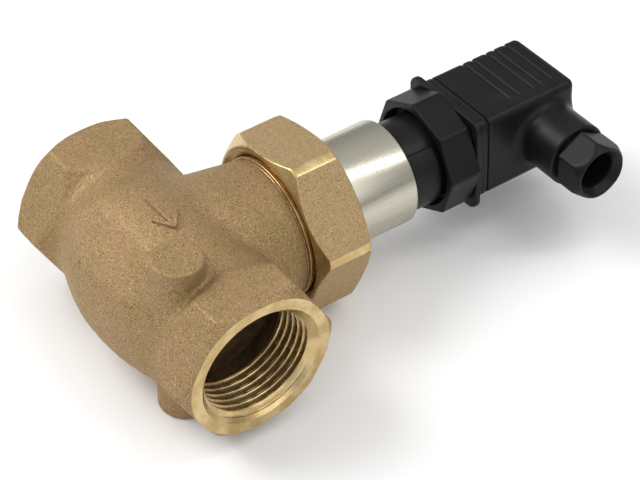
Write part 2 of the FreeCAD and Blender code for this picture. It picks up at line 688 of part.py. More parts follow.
def contact_pins():
    blades = [pin_slot(f"blade_{side}", side, "0", "pin_low_y", "pin_top_y") for side in SIDES]
    keep("contact_pins", rolled(grouped("contact_pins", *blades)))


def flat_gasket():
    sheet_block = centred_block("gasket_block", "plug_gasket_half",
                                ("base_top_y", "base_top_y + plug_gasket_t"))
    slots = [pin_slot(f"gasket_slot_{side}", side, "0.5", "base_top_y - spare",
                      "base_top_y + 2") for side in SIDES]
    hole = rod_y("gasket_hole", "post_r", "base_top_y - spare", "base_top_y + 2")
    keep("flat_gasket", rolled(cut("flat_gasket", sheet_block, hole, *slots)))


# ---------------------------------------------------------------- plug
def connector_housing():
    low = "base_top_y + plug_gasket_t"
    outside = centred_block("plug_block", "plug_half", (low, "plug_top_y"))
    shell = rounded("plug_rounded", outside, "plug_corner",
                    lambda edge: edge.CenterOfMass.y > size("base_top_y") + 3)
    tube = rod_x("gland_tube", "gland_tube_r", "0", "gland_tube_x", y="gland_y")
    inner = "plug_half - plug_wall"
    cavity = centred_block("plug_cavity", inner, (f"{low} - spare", "plug_top_y - plug_roof"))
    gland = rod_x("gland_bore", "gland_bore_r", "gland_seat_x", "gland_tube_x + spare", y="gland_y")
    cable = rod_x("gland_cable_hole", "cable_r", "0", "gland_seat_x + spare", y="gland_y")
    screw = rod_y("plug_screw_hole", "screw_r + hole_play", "plug_top_y - plug_roof - spare",
                  "plug_top_y + spare")
    recess = rod_y("plug_screw_recess", "screw_head_r + hole_play", "screw_head_y - screw_seal_t",
                   "plug_top_y + spare")
    grooves = []
    for along in ("groove_a", "groove_b", "groove_c", "groove_d", "groove_e"):
        for side, low_z, high_z in (("top", "plug_half - groove_deep", "plug_half + spare"),
                                    ("low", "-plug_half - spare", "-plug_half + groove_deep")):
            grooves.append(block(f"{along}_{side}", ("-plug_half - spare", "groove_end"),
                                 (f"{along} - groove_wide / 2", f"{along} + groove_wide / 2"),
                                 (low_z, high_z)))
    keep("connector_housing", rolled(cut("connector_housing", join("plug_solid", shell, tube),
                                         cavity, gland, cable, screw, recess, *grooves)))


def terminal_block():
    body = centred_block("terminal_body", "block_half", ("block_low_y", "block_top_y"))
    pockets = []
    for side in SIDES:
        pockets.append(clamp_block(f"pocket_{side}", side, "clamp_gap", "clamp_low_y",
                                   "block_top_y + spare"))
        pockets.append(pin_slot(f"pocket_slot_{side}", side, "0.4", "block_low_y - spare",
                                "clamp_low_y + spare"))
    screw = rod_y("terminal_screw_way", "screw_r + hole_play", "block_low_y - spare", "block_top_y + spare")
    keep("terminal_block", rolled(cut("terminal_block", body, screw, *pockets)))


def clamp_block(name, side, grow, low, high):
    """Outside of one terminal clamp, centred on its blade."""
    half_w = f"clamp_long / 2 + {grow}"
    half_t = f"clamp_deep / 2 + {grow}"
    if side == "back":
        return block(name, (f"-pin_out - ({half_t})", f"-pin_out + {half_t}"), (low, high),
                     (f"-({half_w})", half_w))
    sign = "" if side == "up" else "-"
    return block(name, (f"-({half_w})", half_w), (low, high),
                 (f"{sign}pin_out - ({half_t})", f"{sign}pin_out + {half_t}"))


def terminals():
    clamps = []
    for side in SIDES:
        outside = clamp_block(f"clamp_{side}", side, "0", "clamp_low_y", "block_top_y + 2")
        slot = pin_slot(f"clamp_slot_{side}", side, "clamp_gap", "clamp_low_y - spare", "pin_top_y + 0.5")
        hole = rod_y(f"clamp_hole_{side}", "clamp_screw_r", "block_top_y - spare", "block_top_y + 3",
                     **clamp_centre(side))
        clamps.append(cut(f"terminal_{side}", outside, slot, hole))
    keep("terminals", rolled(grouped("terminals", *clamps)))


def clamp_centre(side):
    return {"up": {"z": "pin_out"}, "down": {"z": "-pin_out"}, "back": {"x": "-pin_out"}}[side]


def terminal_screws():
    screws = []
    for side in SIDES:
        shank = rod_y(f"clamp_shank_{side}", "clamp_screw_r", "block_top_y - spare", "block_top_y + 2",
                      **clamp_centre(side))
        head = rod_y(f"clamp_head_{side}", "clamp_head_r", "block_top_y + 2", "block_top_y + 3.4",
                     **clamp_centre(side))
        screws.append(join(f"clamp_screw_{side}", shank, head))
    keep("terminal_screws", rolled(grouped("terminal_screws", *screws)))


def fixing_screw():
    keep("fixing_screw", rolled(turned(
        "fixing_screw", (0, "screw_tip_y"), ("screw_r", "screw_tip_y"), ("screw_r", "screw_head_y"),
        ("screw_head_r", "screw_head_y"), ("screw_head_r", "screw_top_y"), (0, "screw_top_y"))))
    keep("screw_seal", rolled(ring("screw_seal", "screw_r + screw_play", "screw_head_r",
                                   "screw_head_y - screw_seal_t", "screw_head_y")))


def gland():
    axis_y = "gland_y"
    collar = rod_x("grommet_collar", "grommet_r", "gland_seat_x", "grommet_top_x", y=axis_y)
    eye = rod_x("grommet_eye", "cable_r", "gland_seat_x - spare", "grommet_top_x + spare", y=axis_y)
    keep("gland_grommet", rolled(cut("gland_grommet", collar, eye)))
    plate = rod_x("gland_washer_plate", "grommet_r", "grommet_top_x", "gland_stub_x", y=axis_y)
    plate_eye = rod_x("gland_washer_eye", "cable_r", "grommet_top_x - spare",
                      "gland_stub_x + spare", y=axis_y)
    keep("gland_washer", rolled(cut("gland_washer", plate, plate_eye)))
    prism = hexagon("gland_prism", "gland_nut_af", "gland_nut_low_x", "gland_nut_top_x", ALONG_X,
                    "x", y=axis_y)
    taper = solid("Cone", "gland_taper", ("gland_nut_low_x", axis_y, 0), ALONG_X,
                  Radius1="gland_back_r", Radius2="gland_face_r",
                  Height="gland_nut_top_x - gland_nut_low_x")
    stub = rod_x("gland_stub", "gland_stub_r", "gland_stub_x", "gland_nut_low_x + spare", y=axis_y)
    eye = rod_x("gland_eye", "cable_r", "gland_stub_x - spare", "gland_nut_top_x + spare", y=axis_y)
    funnel = solid("Cone", "gland_funnel", ("gland_funnel_x", axis_y, 0), ALONG_X, Radius1="cable_r",
                   Radius2="gland_funnel_r", Height="gland_nut_top_x - gland_funnel_x")
    keep("gland_nut", rolled(cut("gland_nut",
                                 join("gland_solid", overlap("gland_head", prism, taper), stub),
                                 eye, funnel)))


# ---------------------------------------------------------------- build and write
valve_body()
union_nut()
bonnet_and_seals()
piston_group()
armature_group()
coil_group()
plug_adapter()
lock_nut()
connector_base()
contact_pins()
flat_gasket()
connector_housing()
terminal_block()
terminals()
terminal_screws()
fixing_screw()
gland()
keep("piston_spring", coil_spring("piston_spring", "spring_wire_r", "spring_coil_r", "spring_pitch",
                                  "piston_floor_y", "guide_roof_y"))
keep("armature_spring", coil_spring("armature_spring", "tip_wire_r", "tip_coil_r", "tip_pitch",
                                    "armature_bore_y", "core_stop_y"))
doc.recompute()

failed = [obj.Name for obj in doc.Objects if "Invalid" in obj.State or "Error" in obj.State]
if failed:
    raise RuntimeError("failed features: " + ", ".join(failed))
for name, obj in pieces.items():
    shape = obj.Shape
    if shape.isNull() or not shape.isValid() or not shape.Solids:
        raise RuntimeError("bad shape: " + name)
    print(f"{name:20s} solids {len(shape.Solids)} volume {shape.Volume:10.1f} mm3")

os.makedirs("parts", exist_ok=True)
for name, obj in pieces.items():
    obj.Shape.exportStep(f"parts/{name}.step")
print(len(pieces), "nodes")
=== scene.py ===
"""Looks of the solenoid valve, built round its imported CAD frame.

Lengths in the shape functions are millimetres in the part's frame: +X is the flow, +Y the branch
towards the cable plug, +Z is up. They become metres when a mesh is made.
"""
import math

import bmesh
import bpy
import numpy as np
from mathutils import Matrix, Vector, noise


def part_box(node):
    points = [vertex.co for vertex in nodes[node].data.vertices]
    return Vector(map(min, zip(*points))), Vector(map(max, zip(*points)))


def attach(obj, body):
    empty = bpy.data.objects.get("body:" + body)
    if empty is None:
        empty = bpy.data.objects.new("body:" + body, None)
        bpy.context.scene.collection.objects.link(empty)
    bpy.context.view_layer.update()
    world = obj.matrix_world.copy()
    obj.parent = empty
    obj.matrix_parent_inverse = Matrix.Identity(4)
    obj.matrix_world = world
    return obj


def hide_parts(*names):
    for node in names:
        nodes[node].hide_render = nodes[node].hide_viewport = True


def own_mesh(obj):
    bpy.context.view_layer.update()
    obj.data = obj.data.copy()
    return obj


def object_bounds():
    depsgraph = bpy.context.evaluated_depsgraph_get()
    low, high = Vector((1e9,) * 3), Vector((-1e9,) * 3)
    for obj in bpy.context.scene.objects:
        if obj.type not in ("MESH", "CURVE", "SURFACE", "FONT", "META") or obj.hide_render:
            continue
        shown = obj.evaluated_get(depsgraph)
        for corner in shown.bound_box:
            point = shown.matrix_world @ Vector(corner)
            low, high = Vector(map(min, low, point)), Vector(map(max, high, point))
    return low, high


MM = 0.001
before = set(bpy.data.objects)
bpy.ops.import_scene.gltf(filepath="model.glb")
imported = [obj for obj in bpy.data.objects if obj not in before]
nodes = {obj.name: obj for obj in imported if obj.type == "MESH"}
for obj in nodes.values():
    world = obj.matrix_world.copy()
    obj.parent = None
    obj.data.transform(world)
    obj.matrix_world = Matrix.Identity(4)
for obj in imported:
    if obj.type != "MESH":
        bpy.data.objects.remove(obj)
cad_low, cad_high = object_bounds()


def span(node):
    """Lowest and highest corner of a CAD node, in millimetres."""
    low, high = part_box(node)
    return low / MM, high / MM


# ---------------------------------------------------------------- sizes read from the frame
BODY_LOW, BODY_HIGH = span("valve_body")
NUT_LOW, NUT_HIGH = span("union_nut")
SLEEVE_LOW, SLEEVE_HIGH = span("coil_sleeve")
ADAPTER_LOW, ADAPTER_HIGH = span("plug_adapter")
LOCK_LOW, LOCK_HIGH = span("lock_nut")
BASE_LOW, BASE_HIGH = span("connector_base")
GASKET_LOW, GASKET_HIGH = span("flat_gasket")
HOUSING_HIGH = span("connector_housing")[1]
SCREW_LOW, SCREW_HIGH = span("fixing_screw")

PORT_X = BODY_HIGH.x                # face of each port
PORT_FLAT = 20.5                    # half across the port hexagon's flats
PORT_RING = 17.5                    # countersink at the port face
RUN_R = 19.8                        # barrel behind the hexagons
THREAD_MINOR = 15.15                # G1 thread
THREAD_MAJOR = 16.6
THREAD_PITCH = 2.309
THREAD_DEPTH = 14
SLEEVE_R = SLEEVE_HIGH.x
ROLL = math.radians(2.7)            # the plug sits turned by this angle about the branch
GLAND_Y = 114.1                     # axis of the cable gland along the branch


# ---------------------------------------------------------------- distance fields
def soft_min(a, b, blend):
    """The lesser of two fields, with a fillet of about this size where they meet."""
    near = np.maximum(blend - np.abs(a - b), 0) / blend
    return np.minimum(a, b) - near * near * blend / 4


def soft_max(a, b, blend):
    return -soft_min(-a, -b, blend)


def slab(value, low, high):
    return np.maximum(low - value, value - high)


def rod(radial, along, radius, low, high, edge=0.3):
    """A cylinder with rounded rims, from its radial and axial coordinates."""
    side = radial - radius + edge
    end = slab(along, low + edge, high - edge)
    return np.hypot(np.maximum(side, 0), np.maximum(end, 0)) + np.minimum(np.maximum(side, end), 0) - edge


def rounded_box(x, y, z, low, high, edge):
    steps = [slab(value, a + edge, b - edge) for value, a, b in zip((x, y, z), low, high)]
    outside = np.sqrt(sum(np.maximum(step, 0) ** 2 for step in steps))
    return outside + np.minimum(np.maximum.reduce(steps), 0) - edge


def rounded_square(x, z, half, corner):
    """A square section with rounded corners, without ends."""
    across = np.abs(x) - half + corner
    upright = np.abs(z) - half + corner
    outside = np.hypot(np.maximum(across, 0), np.maximum(upright, 0))
    return outside + np.minimum(np.maximum(across, upright), 0) - corner


def regular(u, v, half, sides, turn, blend=0.0):
    """A prism with an even number of flats; the first flat faces along the angle turn."""
    result = None
    for side in range(sides // 2):
        angle = turn + math.pi * 2 * side / sides
        flat = np.abs(u * math.cos(angle) + v * math.sin(angle)) - half
        if result is None:
            result = flat
        elif blend:
            result = soft_max(result, flat, blend)
        else:
            result = np.maximum(result, flat)
    return result


# ---------------------------------------------------------------- meshes
def isosurface(field, low, high, step):
    """Points and quads of a field's zero surface: one point in each cell that it crosses."""
    low = np.array(low, float)
    axes = [np.arange(a, b + step, step) for a, b in zip(low, high)]
    value = field(*np.meshgrid(*axes, indexing="ij"))
    inside = value < 0
    cells = [size - 1 for size in value.shape]
    corners = [(i, j, k) for i in (0, 1) for j in (0, 1) for k in (0, 1)]

    def window(array, corner):
        return array[tuple(slice(c, c + n) for c, n in zip(corner, cells))]

    full = sum(window(inside, corner).astype(np.int8) for corner in corners)
    crossed = (full > 0) & (full < 8)
    index = np.full(cells, -1)
    index[crossed] = np.arange(np.count_nonzero(crossed))
    at_corner = {corner: window(value, corner)[crossed] for corner in corners}
    total = np.zeros((np.count_nonzero(crossed), 3))
    hits = np.zeros(len(total))
    for corner in corners:
        for axis in range(3):
            if corner[axis]:
                continue
            other = tuple(c + (axis == n) for n, c in enumerate(corner))
            a, b = at_corner[corner], at_corner[other]
            cross = (a < 0) != (b < 0)
            share = np.where(cross, a / np.where(cross, a - b, 1), 0)
            point = np.tile(np.array(corner, float), (len(total), 1))
            point[:, axis] += share
            total[cross] += point[cross]
            hits += cross
    points = (np.argwhere(crossed) + total / hits[:, None]) * step + low
    quads = []
    for axis in range(3):
        u, v = (axis + 1) % 3, (axis + 2) % 3
        lower = np.take(inside, range(value.shape[axis] - 1), axis)
        upper = np.take(inside, range(1, value.shape[axis]), axis)
        place = np.argwhere(lower != upper)
        place = place[(place[:, u] > 0) & (place[:, v] > 0)]
        place = place[(place[:, u] < cells[u]) & (place[:, v] < cells[v])]
        ring = []
        for back_u, back_v in ((1, 1), (0, 1), (0, 0), (1, 0)):
            cell = place.copy()
            cell[:, u] -= back_u
            cell[:, v] -= back_v
            ring.append(index[tuple(cell.T)])
        quad = np.stack(ring, axis=1)
        outward = lower[tuple(place.T)]
        quads.append(np.where(outward[:, None], quad, quad[:, ::-1]))
    return settle(field, points, step), np.concatenate(quads)


def slope(field, points, reach=0.02):
    """Gradient of a field at some points."""
    columns = []
    for axis in range(3):
        shift = np.zeros(3)
        shift[axis] = reach
        columns.append((field(*(points + shift).T) - field(*(points - shift).T)) / (2 * reach))
    return np.stack(columns, axis=1)


def settle(field, points, step):
    """Move points onto the field's zero surface."""
    for _ in range(3):
        gradient = slope(field, points)
        size = np.maximum((gradient ** 2).sum(axis=1), 0.1)
        move = gradient * (field(*points.T) / size)[:, None]
        length = np.linalg.norm(move, axis=1)
        move *= np.minimum(1, step / np.maximum(length, 1e-9))[:, None]
        points = points - move
    return points


def new_object(name, points, faces):
    mesh = bpy.data.meshes.new(name)
    mesh.from_pydata((np.asarray(points) * MM).tolist(), [], [list(map(int, face)) for face in faces])
    mesh.validate()
    obj = bpy.data.objects.new(name, mesh)
    bpy.context.scene.collection.objects.link(obj)
    return obj


def from_field(name, field, low, high, step, grain=0.0, grain_size=1.5, seed=0.0):
    """A mesh of a field's surface, with the unevenness of a casting where grain is given."""
    points, quads = isosurface(field, low, high, step)
    if grain:
        normal = slope(field, points)
        normal /= np.maximum(np.linalg.norm(normal, axis=1), 1e-6)[:, None]
        rise = np.array([noise.fractal(Vector(p) / grain_size + Vector((seed, 0, 0)), 0.6, 2.1, 3)
                         for p in points])
        points = points + normal * (np.clip(rise, -1, 1) * grain - grain)[:, None]
    return new_object(name, points, quads)


def softened(outline, radius, parts=4):
    """Round the corners of a closed outline of (radius, along) points."""
    result = []
    count = len(outline)
    for number, point in enumerate(outline):
        here = Vector(point)
        before = Vector(outline[number - 1]) - here
        after = Vector(outline[(number + 1) % count]) - here
        reach = min(radius, before.length * 0.45, after.length * 0.45)
        if here.x < 1e-6 or reach < 1e-3:
            result.append(tuple(here))
            continue
        start = here + before.normalized() * reach
        end = here + after.normalized() * reach
        for part in range(parts + 1):
            share = part / parts
            curve = start * (1 - share) ** 2 + here * 2 * share * (1 - share) + end * share ** 2
            result.append(tuple(curve))
    return result


def lathe(name, outline, steps=192, axis="y"):
    """A piece turned about the branch axis, or about the run axis, from its (radius, along) outline."""
    count = len(outline)
    points = []
    for step in range(steps):
        angle = 2 * math.pi * step / steps
        for radius, along in outline:
            u, v = radius * math.cos(angle), radius * math.sin(angle)
            points.append((u, along, v) if axis == "y" else (along, u, v))
    faces = []
    for step in range(steps):
        following = (step + 1) % steps
        for number in range(count):
            after = (number + 1) % count
            faces.append((step * count + number, step * count + after,
                          following * count + after, following * count + number))
    obj = new_object(name, points, faces)
    tidy_normals(obj)
    return obj


def plain_rod(name, radius, low, high, axis="y"):
    return lathe(name, [(0, low), (radius, low), (radius, high), (0, high)], axis=axis)


def tidy_normals(obj):
    """Merge doubled points and turn every face outwards."""
    work = bmesh.new()
    work.from_mesh(obj.data)
    bmesh.ops.remove_doubles(work, verts=work.verts, dist=1e-7)
    bmesh.ops.dissolve_degenerate(work, edges=work.edges, dist=1e-7)
    bmesh.ops.recalc_face_normals(work, faces=work.faces)
    work.to_mesh(obj.data)
    work.free()


def threaded_rod(name, minor, major, pitch, start, end, axis="x", turn_steps=144):
    """A closed rod whose side is a helical thread, as a tool or a stud."""
    rows = int((end - start) / pitch * 20)
    along = np.linspace(start, end, rows)
    angle = np.linspace(0, 2 * math.pi, turn_steps, endpoint=False)
    along_grid, angle_grid = np.meshgrid(along, angle, indexing="ij")
    phase = (along_grid / pitch - angle_grid / (2 * math.pi)) % 1
    flank = np.clip((1 - np.abs(2 * phase - 1) - 0.1) / 0.8, 0, 1)
    radius = minor + (major - minor) * flank * flank * (3 - 2 * flank)
    u, v = radius * np.cos(angle_grid), radius * np.sin(angle_grid)
    order = (along_grid, u, v) if axis == "x" else (u, along_grid, v)
    points = np.stack([part.ravel() for part in order], axis=1).tolist()
    faces = []
    for row in range(rows - 1):
        for step in range(turn_steps):
            following = (step + 1) % turn_steps
            faces.append((row * turn_steps + step, row * turn_steps + following,
                          (row + 1) * turn_steps + following, (row + 1) * turn_steps + step))
    faces.append(list(range(turn_steps)))
    faces.append([(rows - 1) * turn_steps + step for step in range(turn_steps)])
    obj = new_object(name, points, faces)
    tidy_normals(obj)
    return obj


def apply_modifiers(obj):
    shaped = obj.evaluated_get(bpy.context.evaluated_depsgraph_get())
    mesh = bpy.data.meshes.new_from_object(shaped)
    obj.modifiers.clear()
    obj.data = mesh
    return obj


def combine(obj, operation, *tools):
    """Add tools to a piece or cut them from it; faces keep their own materials."""
    for tool in tools:
        modifier = obj.modifiers.new("combine", "BOOLEAN")
        modifier.operation = operation
        modifier.object = tool
        modifier.solver = "MANIFOLD"
        modifier.material_mode = "TRANSFER"
        apply_modifiers(obj)
        bpy.data.objects.remove(tool)
    return obj


def thin_out(obj, share):
    """Fewer faces where the surface is flat."""
    modifier = obj.modifiers.new("thin", "DECIMATE")
    modifier.ratio = share
    return apply_modifiers(obj)


def roll(obj):
    """Turn a piece of the plug about the branch axis."""
    obj.data.transform(Matrix.Rotation(-ROLL, 4, "Y"))
    return obj


def finish_piece(obj, body, sharp=35, replaced=None):
    """Keep a piece within its CAD node, shade it, put it on its body and name the node."""
    if replaced:
        low, high = span(replaced)
        points = np.array([vertex.co for vertex in obj.data.vertices])
        points = np.clip(points, np.array(low) * MM, np.array(high) * MM)
        obj.data.vertices.foreach_set("co", points.ravel())
    obj.data.shade_smooth()
    obj.data.set_sharp_from_angle(angle=math.radians(sharp))
    obj.name = (replaced or obj.name) + "_shape"
    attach(obj, body)
    if replaced:
        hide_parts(replaced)
    return obj


# ---------------------------------------------------------------- materials
class Shader:
    """A node material on the part's own coordinates, in millimetres."""

    def __init__(self, name, metallic=0.0, roughness=0.5, coat=0.0, specular=0.5):
        self.material = bpy.data.materials.new(name)
        self.material.use_nodes = True
        self.tree = self.material.node_tree
        self.principled = self.tree.nodes["Principled BSDF"]
        self.set("Metallic", metallic)
        self.set("Roughness", roughness)
        self.set("Coat Weight", coat)
        self.set("Specular IOR Level", specular)
        where = self.tree.nodes.new("ShaderNodeTexCoord")
        self.place = self.math_vector("SCALE", where.outputs["Object"], 1 / MM)

    def set(self, socket, value):
        self.principled.inputs[socket].default_value = value

    def link(self, output, target):
        self.tree.links.new(output, target)

    def feed(self, socket, output):
        self.link(output, self.principled.inputs[socket])

    def math_vector(self, operation, vector, scale):
        node = self.tree.nodes.new("ShaderNodeVectorMath")
        node.operation = operation
        self.link(vector, node.inputs[0])
        node.inputs["Scale"].default_value = scale
        return node.outputs["Vector"]

    def stretched(self, factors):
        node = self.tree.nodes.new("ShaderNodeVectorMath")
        node.operation = "MULTIPLY"
        self.link(self.place, node.inputs[0])
        node.inputs[1].default_value = factors
        return node.outputs["Vector"]

    def noise(self, per_mm, detail=3.0, roughness=0.6, vector=None):
        node = self.tree.nodes.new("ShaderNodeTexNoise")
        node.inputs["Scale"].default_value = per_mm
        node.inputs["Detail"].default_value = detail
        node.inputs["Roughness"].default_value = roughness
        self.link(vector or self.place, node.inputs["Vector"])
        return node.outputs["Fac"]

    def ramp(self, value, low, high, to_low=0.0, to_high=1.0):
        node = self.tree.nodes.new("ShaderNodeMapRange")
        node.interpolation_type = "SMOOTHSTEP"
        self.link(value, node.inputs["Value"])
        for socket, number in zip(("From Min", "From Max", "To Min", "To Max"),
                                  (low, high, to_low, to_high)):
            node.inputs[socket].default_value = number
        return node.outputs["Result"]

    def mix(self, share, first, second):
        """Colour between two colours or colour outputs."""
        node = self.tree.nodes.new("ShaderNodeMix")
        node.data_type = "RGBA"
        self.put(share, node.inputs["Factor"])
        self.put(first, node.inputs[6])
        self.put(second, node.inputs[7])
        return node.outputs[2]

    def blend(self, share, first, second):
        """Number between two numbers or outputs."""
        node = self.tree.nodes.new("ShaderNodeMix")
        self.put(share, node.inputs["Factor"])
        self.put(first, node.inputs[2])
        self.put(second, node.inputs[3])
        return node.outputs[0]

    def put(self, value, socket):
        if isinstance(value, bpy.types.NodeSocket):
            self.link(value, socket)
        elif isinstance(value, tuple):
            socket.default_value = (*value, 1.0)
        else:
            socket.default_value = value

    def calculate(self, operation, first, second):
        node = self.tree.nodes.new("ShaderNodeMath")
        node.operation = operation
        self.put(first, node.inputs[0])
        self.put(second, node.inputs[1])
        return node.outputs[0]

    def attribute(self, name):
        node = self.tree.nodes.new("ShaderNodeAttribute")
        node.attribute_name = name
        return node.outputs["Fac"]

    def bump(self, height, depth_mm, strength=1.0, under=None):
        node = self.tree.nodes.new("ShaderNodeBump")
        node.inputs["Strength"].default_value = strength
        node.inputs["Distance"].default_value = depth_mm * MM
        self.link(height, node.inputs["Height"])
        if under:
            self.link(under, node.inputs["Normal"])
        return node.outputs["Normal"]


def linear(*rgb):
    """Screen colour, 0 to 255, as the renderer's linear colour."""
    return tuple(((c / 255 + 0.055) / 1.055) ** 2.4 if c > 10 else c / 255 / 12.92 for c in rgb)


CAST_TAN = linear(171, 141, 103)
CAST_OLIVE = linear(163, 139, 94)
CAST_PINK = linear(176, 142, 108)
CAST_SHADE = linear(128, 101, 66)
CAST_PIT = linear(84, 64, 42)
# pale bronze: colour of the painted highlight specks on the casting, and a lighter tone mixed into the nut's cast
# flats
PALE_BRONZE_AND_HIGHLIGHT = linear(236, 211, 166)
BRASS = linear(216, 192, 144)
BRASS_DEEP = linear(192, 164, 112)


def cast_look(shader):
    """Colour, roughness and bump of sand-cast bronze after shot blasting, with painted highlights as bright
    specks in the colour.
    """
    patches = shader.ramp(shader.noise(0.09, 3), 0.38, 0.62)
    warm = shader.ramp(shader.noise(0.16, 4, vector=shader.stretched((1, 1.3, 0.8))), 0.45, 0.7)
    colour = shader.mix(patches, CAST_OLIVE, CAST_TAN)
    colour = shader.mix(shader.calculate("MULTIPLY", warm, 0.5), colour, CAST_PINK)
    mottle = shader.ramp(shader.noise(1.15, 5, 0.8), 0.40, 0.68, 0.0, 0.6)
    colour = shader.mix(mottle, colour, CAST_SHADE)
    fine = shader.noise(2.3, 2, 0.7)
    pits = shader.ramp(fine, 0.56, 0.70)
    busy = shader.ramp(shader.noise(0.22, 2), 0.38, 0.62, 0.45, 0.95)
    colour = shader.mix(shader.calculate("MULTIPLY", pits, busy), colour, CAST_PIT)
    # painted highlights: bright specks in the base colour stand in for glints off the blasted grains; their lower
    # roughness also catches the real lamps
    painted_highlight_specks = shader.ramp(shader.noise(2.7, 2, 0.7, shader.stretched((1, 1, 1.1))), 0.56, 0.72)
    painted_highlight_share = shader.calculate("MULTIPLY", painted_highlight_specks, shader.calculate("MULTIPLY", busy, 0.8))
    colour = shader.mix(painted_highlight_share, colour, PALE_BRONZE_AND_HIGHLIGHT)
    roughness = shader.blend(painted_highlight_share, shader.ramp(fine, 0.3, 0.7, 0.56, 0.72), 0.42)
    grit = shader.noise(1.5, 4, 0.75)
    return colour, roughness, shader.bump(grit, 0.2, 0.9)


def machined_look(shader, turned_about="y"):
    """Colour, roughness and bump of turned brass: fine rings round an axis."""
    stretch = (1.5, 9.0, 1.5) if turned_about == "y" else (9.0, 1.5, 1.5)
    marks = shader.noise(0.9, 3, 0.6, shader.stretched(stretch))
    tone = shader.ramp(shader.noise(0.15, 2), 0.35, 0.65)
    colour = shader.mix(tone, BRASS, BRASS_DEEP)
    colour = shader.mix(shader.ramp(marks, 0.5, 0.75, 0.0, 0.35), colour, BRASS_DEEP)
    roughness = shader.ramp(marks, 0.3, 0.7, 0.24, 0.4)
    return colour, roughness, shader.bump(marks, 0.02, 0.35)


def cast_bronze():
    shader = Shader("cast_bronze", metallic=0.7, roughness=0.6)
    colour, roughness, bump = cast_look(shader)
    shader.feed("Base Color", colour)
    shader.feed("Roughness", roughness)
    shader.feed("Normal", bump)
    return shader.material


def machined_brass():
    shader = Shader("turned_brass", metallic=0.95, roughness=0.3)
    colour, roughness, bump = machined_look(shader, "x")
    shader.feed("Base Color", colour)
    shader.feed("Roughness", roughness)
    shader.feed("Normal", bump)
    return shader.material


def cored_bronze():
    """Dark scale left by the sand core inside the passages."""
    shader = Shader("cored_bronze", metallic=0.4, roughness=0.85, specular=0.2)
    patches = shader.ramp(shader.noise(0.3, 3), 0.35, 0.7)
    shader.feed("Base Color", shader.mix(patches, linear(62, 48, 34), linear(88, 68, 44)))
    shader.feed("Normal", shader.bump(shader.noise(1.2, 4, 0.7), 0.2, 0.8))
    return shader.material


def nut_bronze():
    """Cast flats and turned corners on one piece, told apart by its 'machined' attribute."""
    shader = Shader("nut_bronze", roughness=0.5)
    machined = shader.ramp(shader.attribute("machined"), 0.42, 0.58)
    cast_colour, cast_rough, cast_bump = cast_look(shader)
    cast_colour = shader.mix(0.16, cast_colour, PALE_BRONZE_AND_HIGHLIGHT)
    brass_colour, brass_rough, _ = machined_look(shader)
    shader.feed("Base Color", shader.mix(machined, cast_colour, brass_colour))
    shader.feed("Roughness", shader.blend(machined, cast_rough, brass_rough))
    shader.feed("Metallic", shader.blend(machined, 0.7, 0.95))
    node = cast_bump.node
    shader.link(shader.blend(machined, 0.9, 0.06), node.inputs["Strength"])
    shader.feed("Normal", cast_bump)
    return shader.material


def stainless():
    """Satin tube drawn along the branch: long faint streaks."""
    shader = Shader("satin_steel", metallic=1.0, roughness=0.26)
    streaks = shader.noise(1.6, 4, 0.65, shader.stretched((1.0, 0.03, 1.0)))
    colour = shader.mix(streaks, linear(204, 199, 184), linear(178, 174, 160))
    shader.feed("Base Color", colour)
    shader.feed("Roughness", shader.ramp(streaks, 0.3, 0.7, 0.22, 0.32))
    shader.feed("Normal", shader.bump(streaks, 0.012, 0.25))
    return shader.material


def plastic(name, colour, lighter, roughness=0.36, specular=0.18):
    """Moulded plastic with a fine spark-eroded grain."""
    shader = Shader(name, roughness=roughness, specular=specular)
    cloud = shader.ramp(shader.noise(0.12, 3), 0.35, 0.7)
    shader.feed("Base Color", shader.mix(cloud, colour, lighter))
    grain = shader.noise(4.0, 3, 0.6)
    shader.feed("Roughness", shader.ramp(grain, 0.3, 0.7, roughness - 0.06, roughness + 0.1))
    shader.feed("Normal", shader.bump(grain, 0.02, 0.35))
    return shader.material


def metal(name, colour, darker, roughness, stretch=(1, 1, 1)):
    shader = Shader(name, metallic=1.0, roughness=roughness)
    marks = shader.noise(1.4, 3, 0.6, shader.stretched(stretch))
    shader.feed("Base Color", shader.mix(marks, colour, darker))
    shader.feed("Roughness", shader.ramp(marks, 0.3, 0.7, roughness - 0.08, roughness + 0.1))
    shader.feed("Normal", shader.bump(marks, 0.02, 0.3))
    return shader.material


CAST = cast_bronze()
CORED = cored_bronze()
TURNED = machined_brass()
NUT = nut_bronze()
STEEL = stainless()
NYLON = plastic("black_nylon_grained", linear(17, 17, 18), linear(24, 24, 25))
RUBBER = plastic("seal_rubber_dull", linear(30, 30, 30), linear(40, 39, 38), 0.6)
PTFE = plastic("ptfe_white", linear(226, 226, 220), linear(240, 240, 236), 0.45, 0.45)
FIBRE = plastic("pressed_fibre", linear(92, 108, 90), linear(70, 84, 72), 0.75)
BOBBIN = plastic("glass_filled_nylon", linear(52, 52, 56), linear(66, 66, 70), 0.5)
INSULATION = plastic("red_insulation", linear(150, 30, 24), linear(170, 40, 30), 0.45)
PLATED = metal("zinc_plated_steel", linear(190, 190, 186), linear(168, 168, 166), 0.32)
SPRING = metal("drawn_spring_wire", linear(168, 170, 172), linear(140, 142, 146), 0.3)
MAGNETIC = metal("turned_magnetic_steel", linear(176, 176, 172), linear(150, 150, 148), 0.34, (1, 7, 1))
COPPER = metal("enamelled_copper", linear(176, 96, 52), linear(146, 72, 38), 0.3, (1, 12, 1))
TINNED = metal("tinned_contact_metal", linear(206, 206, 200), linear(184, 184, 180), 0.3, (1, 0.2, 1))
BRASS_Y = metal("turned_brass_fine", BRASS, BRASS_DEEP, 0.32, (1, 8, 1))

